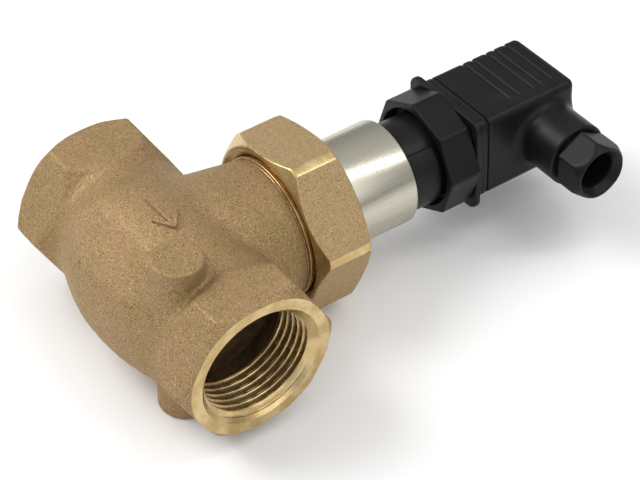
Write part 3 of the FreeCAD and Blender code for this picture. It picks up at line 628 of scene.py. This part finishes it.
CAD_MATERIALS = {
    "bonnet": BRASS_Y, "body_gasket": FIBRE, "piston": BRASS_Y, "piston_ring": PTFE,
    "seat_seal": RUBBER, "seal_retainer": PLATED, "retainer_nut": PLATED, "armature": MAGNETIC,
    "pilot_seal": RUBBER, "core_tube": STEEL, "fixed_core": MAGNETIC, "lower_pole_plate": PLATED,
    "coil_bobbin": BOBBIN, "coil_winding": COPPER, "upper_pole_plate": PLATED, "core_washer": PLATED,
    "core_nut": PLATED, "coil_leads": INSULATION, "contact_pins": TINNED, 
    "terminal_block": BOBBIN, "terminals": BRASS_Y, "terminal_screws": PLATED, "screw_seal": RUBBER,
    "gland_grommet": RUBBER, "gland_washer": BOBBIN,
}


# ---------------------------------------------------------------- valve body
BELLY_CENTRE = (0.0, -2.9, 0.0)
BELLY_RADII = (32.8, 21.2, 23.9)
BELLY_POWER = 2.2
BELLY_FACET = (0.74, 0.673)         # direction of the flatter band along the belly's low side
BELLY_FACET_OUT = 21.6              # how far out that band lies
BELLY_BEND = 0.004                  # how it curves along the run
BRANCH_ROOT_R, BRANCH_R = 21.8, 19.4
BRANCH_ROOT_Y, BRANCH_CAST_Y, BRANCH_RIM_Y = 14, 30, 31.2
BRANCH_RIM_R = 19.9
BRANCH_BORE = 15.65
BRANCH_ROOT_THREAD, BRANCH_THREAD = 18.1, 18.95
BRANCH_PITCH = 1.5
SEAT_Y, SEAT_R = 7, 10.5
CORE_X = 22.8                       # inner end of the port bores
PAD = (18.8, -9.3)
PAD_R = 6.9
HEX_CORNER = PORT_FLAT / math.cos(math.pi / 6)
HEX_ROOT, HEX_BACK = 25.3, 30.0
BELLY_FILLET, NECK_FILLET, PORT_FILLET, PAD_FILLET = 2.2, 1.8, 1.4, 2.0
ARROW_TIP = Vector((7.8, -2.9))
ARROW_TAILS = (Vector((-4.4, -3.3)), ARROW_TIP + Vector((-4.3, 3.4)), ARROW_TIP + Vector((-4.7, -3.2)))
ARROW_HALF_WIDE, ARROW_RISE = 0.55, 0.95
# passages along the run: height of the axis along the branch, radius, both ends, rounding
INLET_PASSAGE = (5, 11.5, -23.5, -14, 2)
RISE_PASSAGE = (12.6, 5.5, -21, 0, 1)
OUTLET_PASSAGE = (-6.5, 9.5, 6, 23.5, 1)
# chambers about the branch: radius, both ends, rounding
UPPER_CHAMBER = (15.4, SEAT_Y, 40, 1)
LOWER_CHAMBER = (11.5, -19, 3, 3)


def belly_field(x, y, z):
    shares = [np.abs(value - centre) / radius
              for value, centre, radius in zip((x, y, z), BELLY_CENTRE, BELLY_RADII)]
    reach = sum(share ** BELLY_POWER for share in shares) ** (1 / BELLY_POWER)
    dome = (reach - 1) * min(BELLY_RADII)
    bend = (x - BELLY_CENTRE[0]) ** 2 * BELLY_BEND
    facet = np.abs(z) * BELLY_FACET[1] - (y - BELLY_CENTRE[1]) * BELLY_FACET[0] + bend - BELLY_FACET_OUT
    return soft_max(dome, facet, 0.5)


def port_field(x, y, z):
    """Both port hexagons, turned down to the barrel behind and chamfered in front."""
    run = np.hypot(y, z)
    along = np.abs(x)
    flats = regular(y, z, PORT_FLAT, 6, math.pi / 2, 0.5)
    climb = (HEX_CORNER + 0.4 - RUN_R) / (HEX_BACK - HEX_ROOT)
    back = (run - RUN_R - (along - HEX_ROOT) * climb) / math.hypot(1, climb)
    front = (run - PORT_FLAT - 0.3 - (PORT_X - along)) / math.sqrt(2)
    return np.maximum(soft_max(soft_max(flats, back, 0.9), front, 0.6), along - PORT_X - 1)


def arrow_field(x, y, z):
    """Raised lines of the flow arrow, seen from above the belly."""
    lines = []
    for tail in ARROW_TAILS:
        run = tail - ARROW_TIP
        from_tip_x, from_tip_y = x - ARROW_TIP.x, y - ARROW_TIP.y
        share = np.clip((from_tip_x * run.x + from_tip_y * run.y) / run.length_squared, 0, 1)
        lines.append(np.hypot(from_tip_x - share * run.x, from_tip_y - share * run.y))
    return np.maximum(np.minimum.reduce(lines) - ARROW_HALF_WIDE, RUN_R - z)


def passages_field(x, y, z):
    """The cored way through: inlet over the seat, under the seat to the outlet."""
    branch, join = np.hypot(x, z), 1.5
    inlet, rise, outlet = [rod(np.hypot(y - axis_y, z), x, *shape)
                           for axis_y, *shape in (INLET_PASSAGE, RISE_PASSAGE, OUTLET_PASSAGE)]
    upper = np.minimum(soft_min(inlet, rise, join), rod(branch, y, *UPPER_CHAMBER))
    return np.minimum(upper, soft_min(outlet, rod(branch, y, *LOWER_CHAMBER), join))


def casting_field(x, y, z):
    run, branch = np.hypot(y, z), np.hypot(x, z)
    barrel = np.maximum(run - RUN_R, np.abs(x) - PORT_X + 4)
    taper = np.clip((y - BRANCH_ROOT_Y) / (BRANCH_CAST_Y - BRANCH_ROOT_Y), 0, 1.1)
    neck = branch - BRANCH_ROOT_R - (BRANCH_R - BRANCH_ROOT_R) * taper
    neck = soft_max(soft_max(neck, y - BRANCH_CAST_Y, 0.8), -y, 2)
    pads = rod(np.hypot(x - PAD[0], y - PAD[1]), np.abs(z), PAD_R, 0, BODY_HIGH.z, 0.6)
    skin = soft_min(belly_field(x, y, z), barrel, BELLY_FILLET)
    skin = soft_min(skin, neck, NECK_FILLET)
    skin = soft_min(skin, port_field(x, y, z), PORT_FILLET)
    arrow = np.maximum(arrow_field(x, y, z), skin - ARROW_RISE)
    skin = soft_min(skin, pads, PAD_FILLET)
    skin = soft_min(skin, arrow, 0.25)
    return np.maximum(skin, -passages_field(x, y, z))


def valve_body():
    casting = from_field("casting", casting_field, (-PORT_X - 1.5, BODY_LOW.y - 1, BODY_LOW.z - 1),
                         (PORT_X + 1.5, BRANCH_CAST_Y + 1, BODY_HIGH.z + 1), 0.42, 0.06, 1.5)
    casting.data.materials.append(CAST)
    end, root = BODY_HIGH.y, BRANCH_ROOT_THREAD + 0.2
    rim = lathe("rim", softened([(BRANCH_BORE - 1, BRANCH_CAST_Y - 1), (19.0, BRANCH_CAST_Y - 1),
                                 (19.0, BRANCH_CAST_Y), (BRANCH_RIM_R, BRANCH_CAST_Y + 0.1),
                                 (BRANCH_RIM_R, BRANCH_RIM_Y), (root, BRANCH_RIM_Y + 0.4), (root, end - 0.5),
                                 (root - 0.3, end), (BRANCH_BORE - 1, end)], 0.25))
    thread = threaded_rod("branch_thread", BRANCH_ROOT_THREAD, BRANCH_THREAD, BRANCH_PITCH,
                          BRANCH_RIM_Y + 1.4, end - 0.6, "y")
    bore = plain_rod("bore", BRANCH_BORE, SEAT_Y + 1, end + 1)
    seat = lathe("seat", softened([(0, 1.5), (SEAT_R, 1.5), (SEAT_R, SEAT_Y - 0.4), (SEAT_R + 0.5, SEAT_Y + 0.2),
                                   (0, SEAT_Y + 0.2)], 0.1))
    cutters, cored = [bore, seat], []
    mouth_x = PORT_X - PORT_RING + THREAD_MINOR - 0.5
    for side in (-1, 1):
        start = PORT_X - THREAD_DEPTH
        screw = threaded_rod("port_thread", THREAD_MINOR, THREAD_MAJOR, THREAD_PITCH, start, PORT_X + 2)
        mouth = lathe("mouth", [(0, PORT_X + 3), (0, mouth_x), (THREAD_MINOR - 0.5, mouth_x), (PORT_RING, PORT_X),
                                (PORT_RING, PORT_X + 3)], axis="x")
        facing = plain_rod("facing", 32, PORT_X, PORT_X + 4, "x")
        core = plain_rod("core", THREAD_MINOR - 0.1, CORE_X, start + 1, "x")
        for tool in (screw, mouth, facing, core):
            if side < 0:
                tool.data.transform(Matrix.Rotation(math.pi, 4, "Y"))
        cutters += [screw, mouth, facing]
        cored.append(core)
    for tool in (rim, thread, *cutters):
        tool.data.materials.append(TURNED)
    for tool in cored:
        tool.data.materials.append(CORED)
    combine(casting, "UNION", rim, thread)
    combine(casting, "DIFFERENCE", *cutters, *cored)
    finish_piece(casting, "valve", 30, "valve_body")


# ---------------------------------------------------------------- union nut
NUT_FLAT = 23.0
NUT_TURNED = 25.75
NUT_FACE = 22.6
NUT_TURN = math.radians(9.8)
NUT_CHAMFERS = (2.2, 1.3)           # lengths of the chamfers towards the body and the plug
NUT_RECESS, NUT_RECESS_DEEP = 21.8, 2.0
NUT_BORE, NUT_SHOULDER, NUT_EYE = 19.05, 41.3, 16.2


def nut_terms(x, y, z):
    """Fields of the nut's flats and of its turned outside."""
    radial = np.hypot(x, z)
    flats = regular(x, z, NUT_FLAT, 6, NUT_TURN + math.pi / 6)
    turned = radial - NUT_TURNED
    for along, deep in zip((y - NUT_LOW.y, NUT_HIGH.y - y), NUT_CHAMFERS):
        climb = (NUT_TURNED - NUT_FACE) / deep
        chamfer = (radial - NUT_FACE - along * climb) / math.hypot(1, climb)
        turned = soft_max(turned, chamfer, 0.4)
    return flats, turned


def nut_field(x, y, z):
    flats, turned = nut_terms(x, y, z)
    radial = np.hypot(x, z)
    outside = soft_max(soft_max(flats, turned, 0.25), slab(y, NUT_LOW.y, NUT_HIGH.y), 0.4)
    inwards = (NUT_RECESS - NUT_BORE) / NUT_RECESS_DEEP
    cone = (radial - NUT_RECESS + (y - NUT_LOW.y) * inwards) / math.hypot(1, inwards)
    recess = np.maximum(cone, y - NUT_LOW.y - NUT_RECESS_DEEP)
    bore = np.minimum(np.maximum(radial - NUT_BORE, y - NUT_SHOULDER), recess)
    return soft_max(outside, -np.minimum(bore, radial - NUT_EYE), 0.3)


def union_nut():
    reach = NUT_TURNED + 0.7
    nut = from_field("nut", nut_field, (-reach, NUT_LOW.y - 0.7, -reach), (reach, NUT_HIGH.y + 0.7, reach), 0.3)
    points = np.array([vertex.co for vertex in nut.data.vertices]) / MM
    flats, turned = nut_terms(*points.T)
    radial = np.hypot(points[:, 0], points[:, 2])
    rough = np.array([noise.fractal(Vector(p) / 1.6, 0.6, 2.1, 3) for p in points])
    cast = (flats > turned - 0.02) & (radial > NUT_FLAT - 0.3)
    mark = nut.data.attributes.new("machined", "FLOAT", "POINT")
    mark.data.foreach_set("value", np.where(cast, 0.0, 1.0))
    normal = slope(nut_field, points)
    normal /= np.maximum(np.linalg.norm(normal, axis=1), 1e-6)[:, None]
    points = points + normal * np.where(cast, np.clip(rough, -1, 1) * 0.07 - 0.07, 0)[:, None]
    nut.data.vertices.foreach_set("co", (points * MM).ravel())
    nut.data.materials.append(NUT)
    finish_piece(nut, "union_nut", 40, "union_nut")


# ---------------------------------------------------------------- sleeve, adapter and lock nut
def coil_sleeve():
    inner = SLEEVE_R - 1
    sleeve = lathe("sleeve", softened([(inner, SLEEVE_LOW.y), (SLEEVE_R, SLEEVE_LOW.y),
                                       (SLEEVE_R, SLEEVE_HIGH.y), (inner, SLEEVE_HIGH.y)], 0.45))
    sleeve.data.materials.append(STEEL)
    finish_piece(sleeve, "valve", 50, "coil_sleeve")


KEY_FROM, KEY_TO = math.radians(-125), math.radians(51)
ADAPTER_R, ADAPTER_STEP_Y = 12.4, 82.2
ADAPTER_NECK_R = 11.0               # its end inside the connector base
ADAPTER_BORE, ADAPTER_BORE_Y, ADAPTER_NECK_BORE = 10.6, 79.2, 9.9
KEY_R, KEY_LOW_Y, KEY_HIGH_Y = 13.3, 66, 78


def adapter_field(x, y, z):
    radial, angle = np.hypot(x, z), np.arctan2(z, x)
    low, high = ADAPTER_LOW.y, ADAPTER_HIGH.y
    plug = rod(radial, y, SLEEVE_R - 1.05, low, SLEEVE_HIGH.y)
    tube = rod(radial, y, ADAPTER_R, low, ADAPTER_STEP_Y)
    neck = rod(radial, y, ADAPTER_NECK_R, low, high)
    sector = slab(angle, KEY_FROM, KEY_TO) * radial
    key = soft_max(rod(radial, y, KEY_R, KEY_LOW_Y, KEY_HIGH_Y, 0.4), sector, 0.5)
    solid = np.minimum(np.minimum(plug, neck), soft_min(tube, key, 0.4))
    hollow = np.minimum(np.maximum(radial - ADAPTER_BORE, y - ADAPTER_BORE_Y), radial - ADAPTER_NECK_BORE)
    return soft_max(solid, -hollow, 0.3)


def plug_adapter():
    reach = SLEEVE_R
    adapter = from_field("adapter", adapter_field, (-reach, ADAPTER_LOW.y - 0.6, -reach),
                         (reach, ADAPTER_HIGH.y + 0.6, reach), 0.3)
    adapter.data.materials.append(NYLON)
    thin_out(adapter, 0.4)
    finish_piece(adapter, "valve", 40, "plug_adapter")


LOCK_FLAT = 15.9
LOCK_TURN = math.radians(28)
LOCK_RECESS, LOCK_BORE = 14.25, 12.5


def lock_field(x, y, z):
    radial = np.hypot(x, z)
    flats = regular(x, z, LOCK_FLAT, 8, LOCK_TURN, 0.4)
    outside = soft_max(flats, slab(y, LOCK_LOW.y, LOCK_HIGH.y), 0.6)
    recess = np.maximum(radial - LOCK_RECESS, y - ADAPTER_STEP_Y)
    hollow = np.minimum(recess, radial - LOCK_BORE)
    return soft_max(outside, -hollow, 0.4)


def lock_nut():
    reach = LOCK_FLAT + 2
    nut = from_field("lock", lock_field, (-reach, LOCK_LOW.y - 0.6, -reach),
                     (reach, LOCK_HIGH.y + 0.6, reach), 0.3)
    nut.data.materials.append(NYLON)
    finish_piece(nut, "lock_nut", 40, "lock_nut")


# ---------------------------------------------------------------- connector base
BASE_RIM_LOW_Y, BASE_RIM_Y = 88.5, 90.2
BASE_RIM_HALF, BASE_RIM_CORNER = 14.9, 3.6
BASE_HALF, BASE_CORNER = 13.1, 2.8
BASE_HOLLOW, HOLLOW_CORNER = 11.6, 2.6
GASKET_HALF, GASKET_CORNER = 12.6, 2.6
POST_R = 3.5                        # post for the fixing screw
PIN_OUT = 9.0
BLADE_SPACES = ((0, PIN_OUT, 3.15, 0.4), (0, -PIN_OUT, 3.15, 0.4), (-PIN_OUT, 0, 0.4, 3.15))


def blade_spaces(x, z, grow):
    """Section of the three contact blades, seen along the branch."""
    fields = [np.maximum(np.abs(x - cx) - half_x - grow, np.abs(z - cz) - half_z - grow)
              for cx, cz, half_x, half_z in BLADE_SPACES]
    return np.minimum.reduce(fields)


def base_field(x, y, z):
    radial = np.hypot(x, z)
    inside_y = BASE_RIM_Y + 0.8         # the stub and the post end inside the plate
    rim = soft_max(rounded_square(x, z, BASE_RIM_HALF, BASE_RIM_CORNER),
                   slab(y, BASE_RIM_LOW_Y, BASE_RIM_Y), 0.5)
    plate = soft_max(rounded_square(x, z, BASE_HALF, BASE_CORNER), slab(y, BASE_RIM_LOW_Y + 1, BASE_HIGH.y), 0.4)
    hollow = np.maximum(rounded_square(x, z, BASE_HOLLOW, HOLLOW_CORNER), y - BASE_RIM_Y)
    stub = np.maximum(slab(radial, ADAPTER_NECK_R + 0.05, ADAPTER_R - 0.05),
                      slab(y, ADAPTER_STEP_Y + 0.05, inside_y))
    post = rod(radial, y, POST_R, BASE_LOW.y, inside_y, 0.4)
    shell = soft_max(np.minimum(rim, plate), -hollow, 0.3)
    shell = np.minimum(shell, np.minimum(stub, post))
    hole = radial - 1.55
    slots = np.maximum(blade_spaces(x, z, 0.02), 89 - y)
    return soft_max(shell, -np.minimum(hole, slots), 0.15)


def connector_base():
    base = from_field("base", base_field, (-15.4, BASE_LOW.y - 0.6, -15.4), (15.4, BASE_HIGH.y + 0.6, 15.4), 0.28)
    base.data.materials.append(NYLON)
    thin_out(roll(base), 0.35)
    finish_piece(base, "valve", 40, "connector_base")


def gasket_field(x, y, z):
    low, high = GASKET_LOW.y, GASKET_HIGH.y
    sheet = soft_max(rounded_square(x, z, GASKET_HALF, GASKET_CORNER), slab(y, low, high), 0.2)
    return np.maximum(sheet, -np.minimum(blade_spaces(x, z, 0.5), np.hypot(x, z) - POST_R))


def flat_gasket():
    gasket = from_field("gasket", gasket_field, (-12.9, GASKET_LOW.y - 0.3, -12.9),
                        (12.9, GASKET_HIGH.y + 0.3, 12.9), 0.2)
    gasket.data.materials.append(RUBBER)
    thin_out(roll(gasket), 0.3)
    finish_piece(gasket, "plug", 40, "flat_gasket")


# ---------------------------------------------------------------- plug housing and gland
HOUSING_HALF, HOUSING_CORNER = 13.0, 2.5
HOUSING_WALL, HOUSING_ROOF = 1.6, 3
HOUSING_LOW_Y = 94.3
GROOVES = (104.5, 107.7, 112.6, 115.4, 119.2)
GROOVE_R, GROOVE_END_X = 0.55, 8.5
TUBE_R, TUBE_END = 9.26, 26.5
TUBE_BORE, TUBE_SEAT_X, CABLE_R = 7.5, 15, 5.3
SCREW_WAY_R, SCREW_RECESS_R = 1.9, 3.5


def groove_field(x, y, z):
    """Grip grooves across the two wide sides and round their far corners, short of the gland side."""
    outside = rounded_square(x, z, HOUSING_HALF, HOUSING_CORNER)
    far_side = np.abs(z) < HOUSING_HALF - HOUSING_CORNER
    outside = np.where(far_side, np.minimum(outside, -2), outside) - 0.15
    short = np.maximum(x - GROOVE_END_X, 0)
    lines = [np.hypot(np.hypot((y - along) * 0.9, outside), short) for along in GROOVES]
    return np.minimum.reduce(lines) - GROOVE_R


def housing_field(x, y, z):
    top = HOUSING_HIGH.y
    section = rounded_square(x, z, HOUSING_HALF, HOUSING_CORNER)
    shell = soft_max(section, slab(y, HOUSING_LOW_Y, top + 2), 0.3)
    block = rounded_box(x, y, z, (-HOUSING_HALF, HOUSING_LOW_Y - 4, -HOUSING_HALF),
                        (HOUSING_HALF, top, HOUSING_HALF), 2.4)
    shell = np.maximum(shell, block)
    radial = np.hypot(y - GLAND_Y, z)
    tube = rod(radial, x, TUBE_R, 0, TUBE_END, 0.5)
    shell = soft_min(shell, tube, 3.2)
    inner = HOUSING_HALF - HOUSING_WALL
    cavity = rounded_box(x, y, z, (-inner, HOUSING_LOW_Y - 4, -inner), (inner, top - HOUSING_ROOF, inner), 1.0)
    bore = np.maximum(radial - TUBE_BORE, TUBE_SEAT_X - x)
    cable = np.maximum(radial - CABLE_R, 5 - x)
    branch = np.hypot(x, z)
    screw = np.minimum(np.maximum(branch - SCREW_WAY_R, top - 4.5 - y),
                       np.maximum(branch - SCREW_RECESS_R, top - HOUSING_ROOF - y))
    hollow = np.minimum(np.minimum(cavity, bore), np.minimum(cable, screw))
    shell = soft_max(shell, -groove_field(x, y, z), 0.35)
    return soft_max(shell, -hollow, 0.25)


def connector_housing():
    housing = from_field("housing", housing_field, (-13.6, HOUSING_LOW_Y - 0.6, -13.6),
                         (TUBE_END + 0.6, HOUSING_HIGH.y + 0.6, 13.6), 0.28)
    housing.data.materials.append(NYLON)
    thin_out(roll(housing), 0.4)
    finish_piece(housing, "plug", 40, "connector_housing")


GLAND_FLAT, GLAND_STUB_R = 7.8, 7.4
GLAND_CONE, GLAND_CONE_FALL = 12.2, 4.55        # cone round the hexagon, and its fall to the face
FUNNEL_FLARE = 2.0
GLAND_STUB_X, GLAND_LOW_X, GLAND_FACE_X, FUNNEL_X = 20.5, 27.3, 36.7, 34.3


def gland_field(x, y, z):
    radial = np.hypot(y - GLAND_Y, z)
    flats = regular(y - GLAND_Y, z, GLAND_FLAT, 6, 0, 0.3)
    share = (x - GLAND_LOW_X) / (GLAND_FACE_X - GLAND_LOW_X)
    taper = (radial - GLAND_CONE + share * GLAND_CONE_FALL) * 0.9
    head = soft_max(soft_max(flats, taper, 0.5), slab(x, GLAND_LOW_X, GLAND_FACE_X), 0.6)
    stub = np.maximum(radial - GLAND_STUB_R, slab(x, GLAND_STUB_X, GLAND_LOW_X + 1))
    flare = FUNNEL_FLARE / (GLAND_FACE_X - FUNNEL_X)
    funnel = (radial - CABLE_R - (x - FUNNEL_X) * flare) / math.hypot(1, flare)
    hole = soft_min(radial - CABLE_R - 0.05, np.maximum(funnel, FUNNEL_X - x), 0.3)
    return soft_max(np.minimum(head, stub), -hole, 0.4)


def gland_nut():
    reach = 9.8
    nut = from_field("gland", gland_field, (GLAND_STUB_X - 0.6, GLAND_Y - reach, -reach),
                     (GLAND_FACE_X + 0.6, GLAND_Y + reach, reach), 0.24)
    nut.data.materials.append(NYLON)
    thin_out(roll(nut), 0.4)
    finish_piece(nut, "gland_nut", 40, "gland_nut")


def fixing_screw():
    low, high = SCREW_LOW.y, SCREW_HIGH.y
    shank, head, under_head = 1.45, 2.95, high - 2
    outline = [(0, low), (0.9, low), (shank, low + 0.6), (shank, under_head), (head, under_head),
               (head, high), (0, high)]
    screw = lathe("screw", softened(outline, 0.25), 96)
    slot = new_object("slot", *slab_mesh((-4, high - 1.0, -0.4), (4, high + 1, 0.4)))
    for part in (screw, slot):
        part.data.materials.append(PLATED)
    combine(screw, "DIFFERENCE", slot)
    roll(screw)
    finish_piece(screw, "fixing_screw", 35, "fixing_screw")


def slab_mesh(low, high):
    """Corners and faces of a cutting block."""
    spans = list(zip(low, high))
    points = [(x, y, z) for x in spans[0] for y in spans[1] for z in spans[2]]
    faces = [(0, 1, 3, 2), (4, 6, 7, 5), (0, 4, 5, 1), (2, 3, 7, 6), (0, 2, 6, 4), (1, 5, 7, 3)]
    return points, faces


# ---------------------------------------------------------------- springs
PISTON_SPRING = {"travel": 7, "wire_r": 0.6, "coil_r": 8.3, "turns": 6, "low": 14, "high": 33.5}
ARMATURE_SPRING = {"travel": 7, "wire_r": 0.35, "coil_r": 2.3, "turns": 9, "low": 44.1, "high": 59.2}


def spring(name, joint, body, travel, wire_r, coil_r, turns, low, high):
    """A coil spring with closed ends, wound at full length from its low end to its high end. The armature rides
    on the piston.
    """
    steps = int(turns * 36)
    points, faces = [], []
    section, flat_end = 10, 0.12
    for step in range(steps + 1):
        share = step / steps
        closing = np.clip((share - flat_end) / (1 - 2 * flat_end), 0, 1)
        angle = 2 * math.pi * turns * share
        along = low + wire_r + (high - low - 2 * wire_r) * closing
        centre = Vector((coil_r * math.cos(angle), along, coil_r * math.sin(angle)))
        outward = Vector((math.cos(angle), 0, math.sin(angle)))
        for side in range(section):
            turn = 2 * math.pi * side / section
            offset = outward * math.cos(turn) + Vector((0, 1, 0)) * math.sin(turn)
            points.append(centre + offset * wire_r)
    for step in range(steps):
        for side in range(section):
            following = (side + 1) % section
            faces.append((step * section + side, step * section + following,
                          (step + 1) * section + following, (step + 1) * section + side))
    faces.append(list(range(section)))
    faces.append([steps * section + side for side in range(section)])
    coil = new_object(name, [tuple(point) for point in points], faces)
    tidy_normals(coil)
    coil.data.materials.append(SPRING)
    finish_piece(coil, body, 60, name)
    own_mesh(coil)


# ---------------------------------------------------------------- studio
# lamps: place in metres, width, length, power
LAMPS = {"key": ((-0.42, -0.38, 0.64), 0.5, 0.5, 5.0),
         "fill": ((0.75, 0.1, 0.6), 0.8, 0.8, 2.4),
         "strip": ((0.24, 0.38, 0.68), 0.1, 0.6, 1.1)}
SKY = ((0.0, 0.50), (0.35, 0.62), (0.9, 1.0))      # height and brightness
AZIMUTH, ELEVATION, TILT = math.radians(54.22), math.radians(43.24), math.radians(0.19)
DISTANCE, AIM, LENS = 607.7, Vector((12.03, 38.54, 0)), 130.68


def studio():
    """A pale floor, soft light from all round and three soft lamps."""
    floor_mesh, reach = bpy.data.meshes.new("floor"), 4.0
    low = cad_low.z - 0.0002
    corners = [(-reach, -reach, low), (reach, -reach, low), (reach, reach, low), (-reach, reach, low)]
    floor_mesh.from_pydata(corners, [], [(0, 1, 2, 3)])
    floor = bpy.data.objects.new("floor", floor_mesh)
    bpy.context.scene.collection.objects.link(floor)
    shade = bpy.data.materials.new("pale_floor")
    shade.use_nodes = True
    principled = shade.node_tree.nodes["Principled BSDF"]
    principled.inputs["Base Color"].default_value = (0.93, 0.93, 0.93, 1)
    principled.inputs["Roughness"].default_value = 0.9
    principled.inputs["Specular IOR Level"].default_value = 0.1
    floor_mesh.materials.append(shade)
    world = bpy.data.worlds.new("studio")
    bpy.context.scene.world = world
    world.use_nodes = True
    background = world.node_tree.nodes["Background"]
    tree = world.node_tree
    where = tree.nodes.new("ShaderNodeTexCoord")
    height = tree.nodes.new("ShaderNodeSeparateXYZ")
    tree.links.new(where.outputs["Generated"], height.inputs[0])
    sky = tree.nodes.new("ShaderNodeValToRGB")
    sky.color_ramp.elements.new(0.35)
    for stop, (place, tone) in zip(sky.color_ramp.elements, SKY):
        stop.position = place
        stop.color = (tone, tone, tone, 1)
    tree.links.new(height.outputs["Z"], sky.inputs["Fac"])
    tree.links.new(sky.outputs["Color"], background.inputs["Color"])
    background.inputs["Strength"].default_value = 0.72
    for name, (place, wide, long, power) in LAMPS.items():
        data = bpy.data.lights.new(name, "AREA")
        data.shape = "RECTANGLE"
        data.size = wide
        data.size_y = long
        data.energy = power
        lamp = bpy.data.objects.new(name, data)
        lamp.location = place
        aim = Vector((0, 0.04, 0)) - Vector(place)
        lamp.rotation_euler = aim.to_track_quat("-Z", "Y").to_euler()
        bpy.context.scene.collection.objects.link(lamp)


def camera():
    """The viewing angle: right of the outlet, above, looking towards the plug."""
    back = Vector((math.sin(AZIMUTH) * math.cos(ELEVATION), -math.cos(AZIMUTH) * math.cos(ELEVATION),
                   math.sin(ELEVATION)))
    data = bpy.data.cameras.new("camera")
    data.lens = LENS
    data.sensor_width = 36
    data.clip_start, data.clip_end = 0.01, 20
    eye = bpy.data.objects.new("camera", data)
    eye.rotation_mode = "QUATERNION"
    eye.rotation_quaternion = (-back).to_track_quat("-Z", "Y") @ Matrix.Rotation(TILT, 3, "Z").to_quaternion()
    eye.location = (AIM + back * DISTANCE) * MM
    bpy.context.scene.collection.objects.link(eye)
    bpy.context.scene.camera = eye
    bpy.context.scene.view_settings.view_transform = "Standard"


# ---------------------------------------------------------------- build
for node, material in CAD_MATERIALS.items():
    nodes[node].data.materials.clear()
    nodes[node].data.materials.append(material)
valve_body()
union_nut()
coil_sleeve()
plug_adapter()
lock_nut()
connector_base()
flat_gasket()
connector_housing()
gland_nut()
fixing_screw()
spring("piston_spring", "piston_lift", "valve", **PISTON_SPRING)
spring("armature_spring", "piston_lift", "valve", **ARMATURE_SPRING)
studio()
camera()
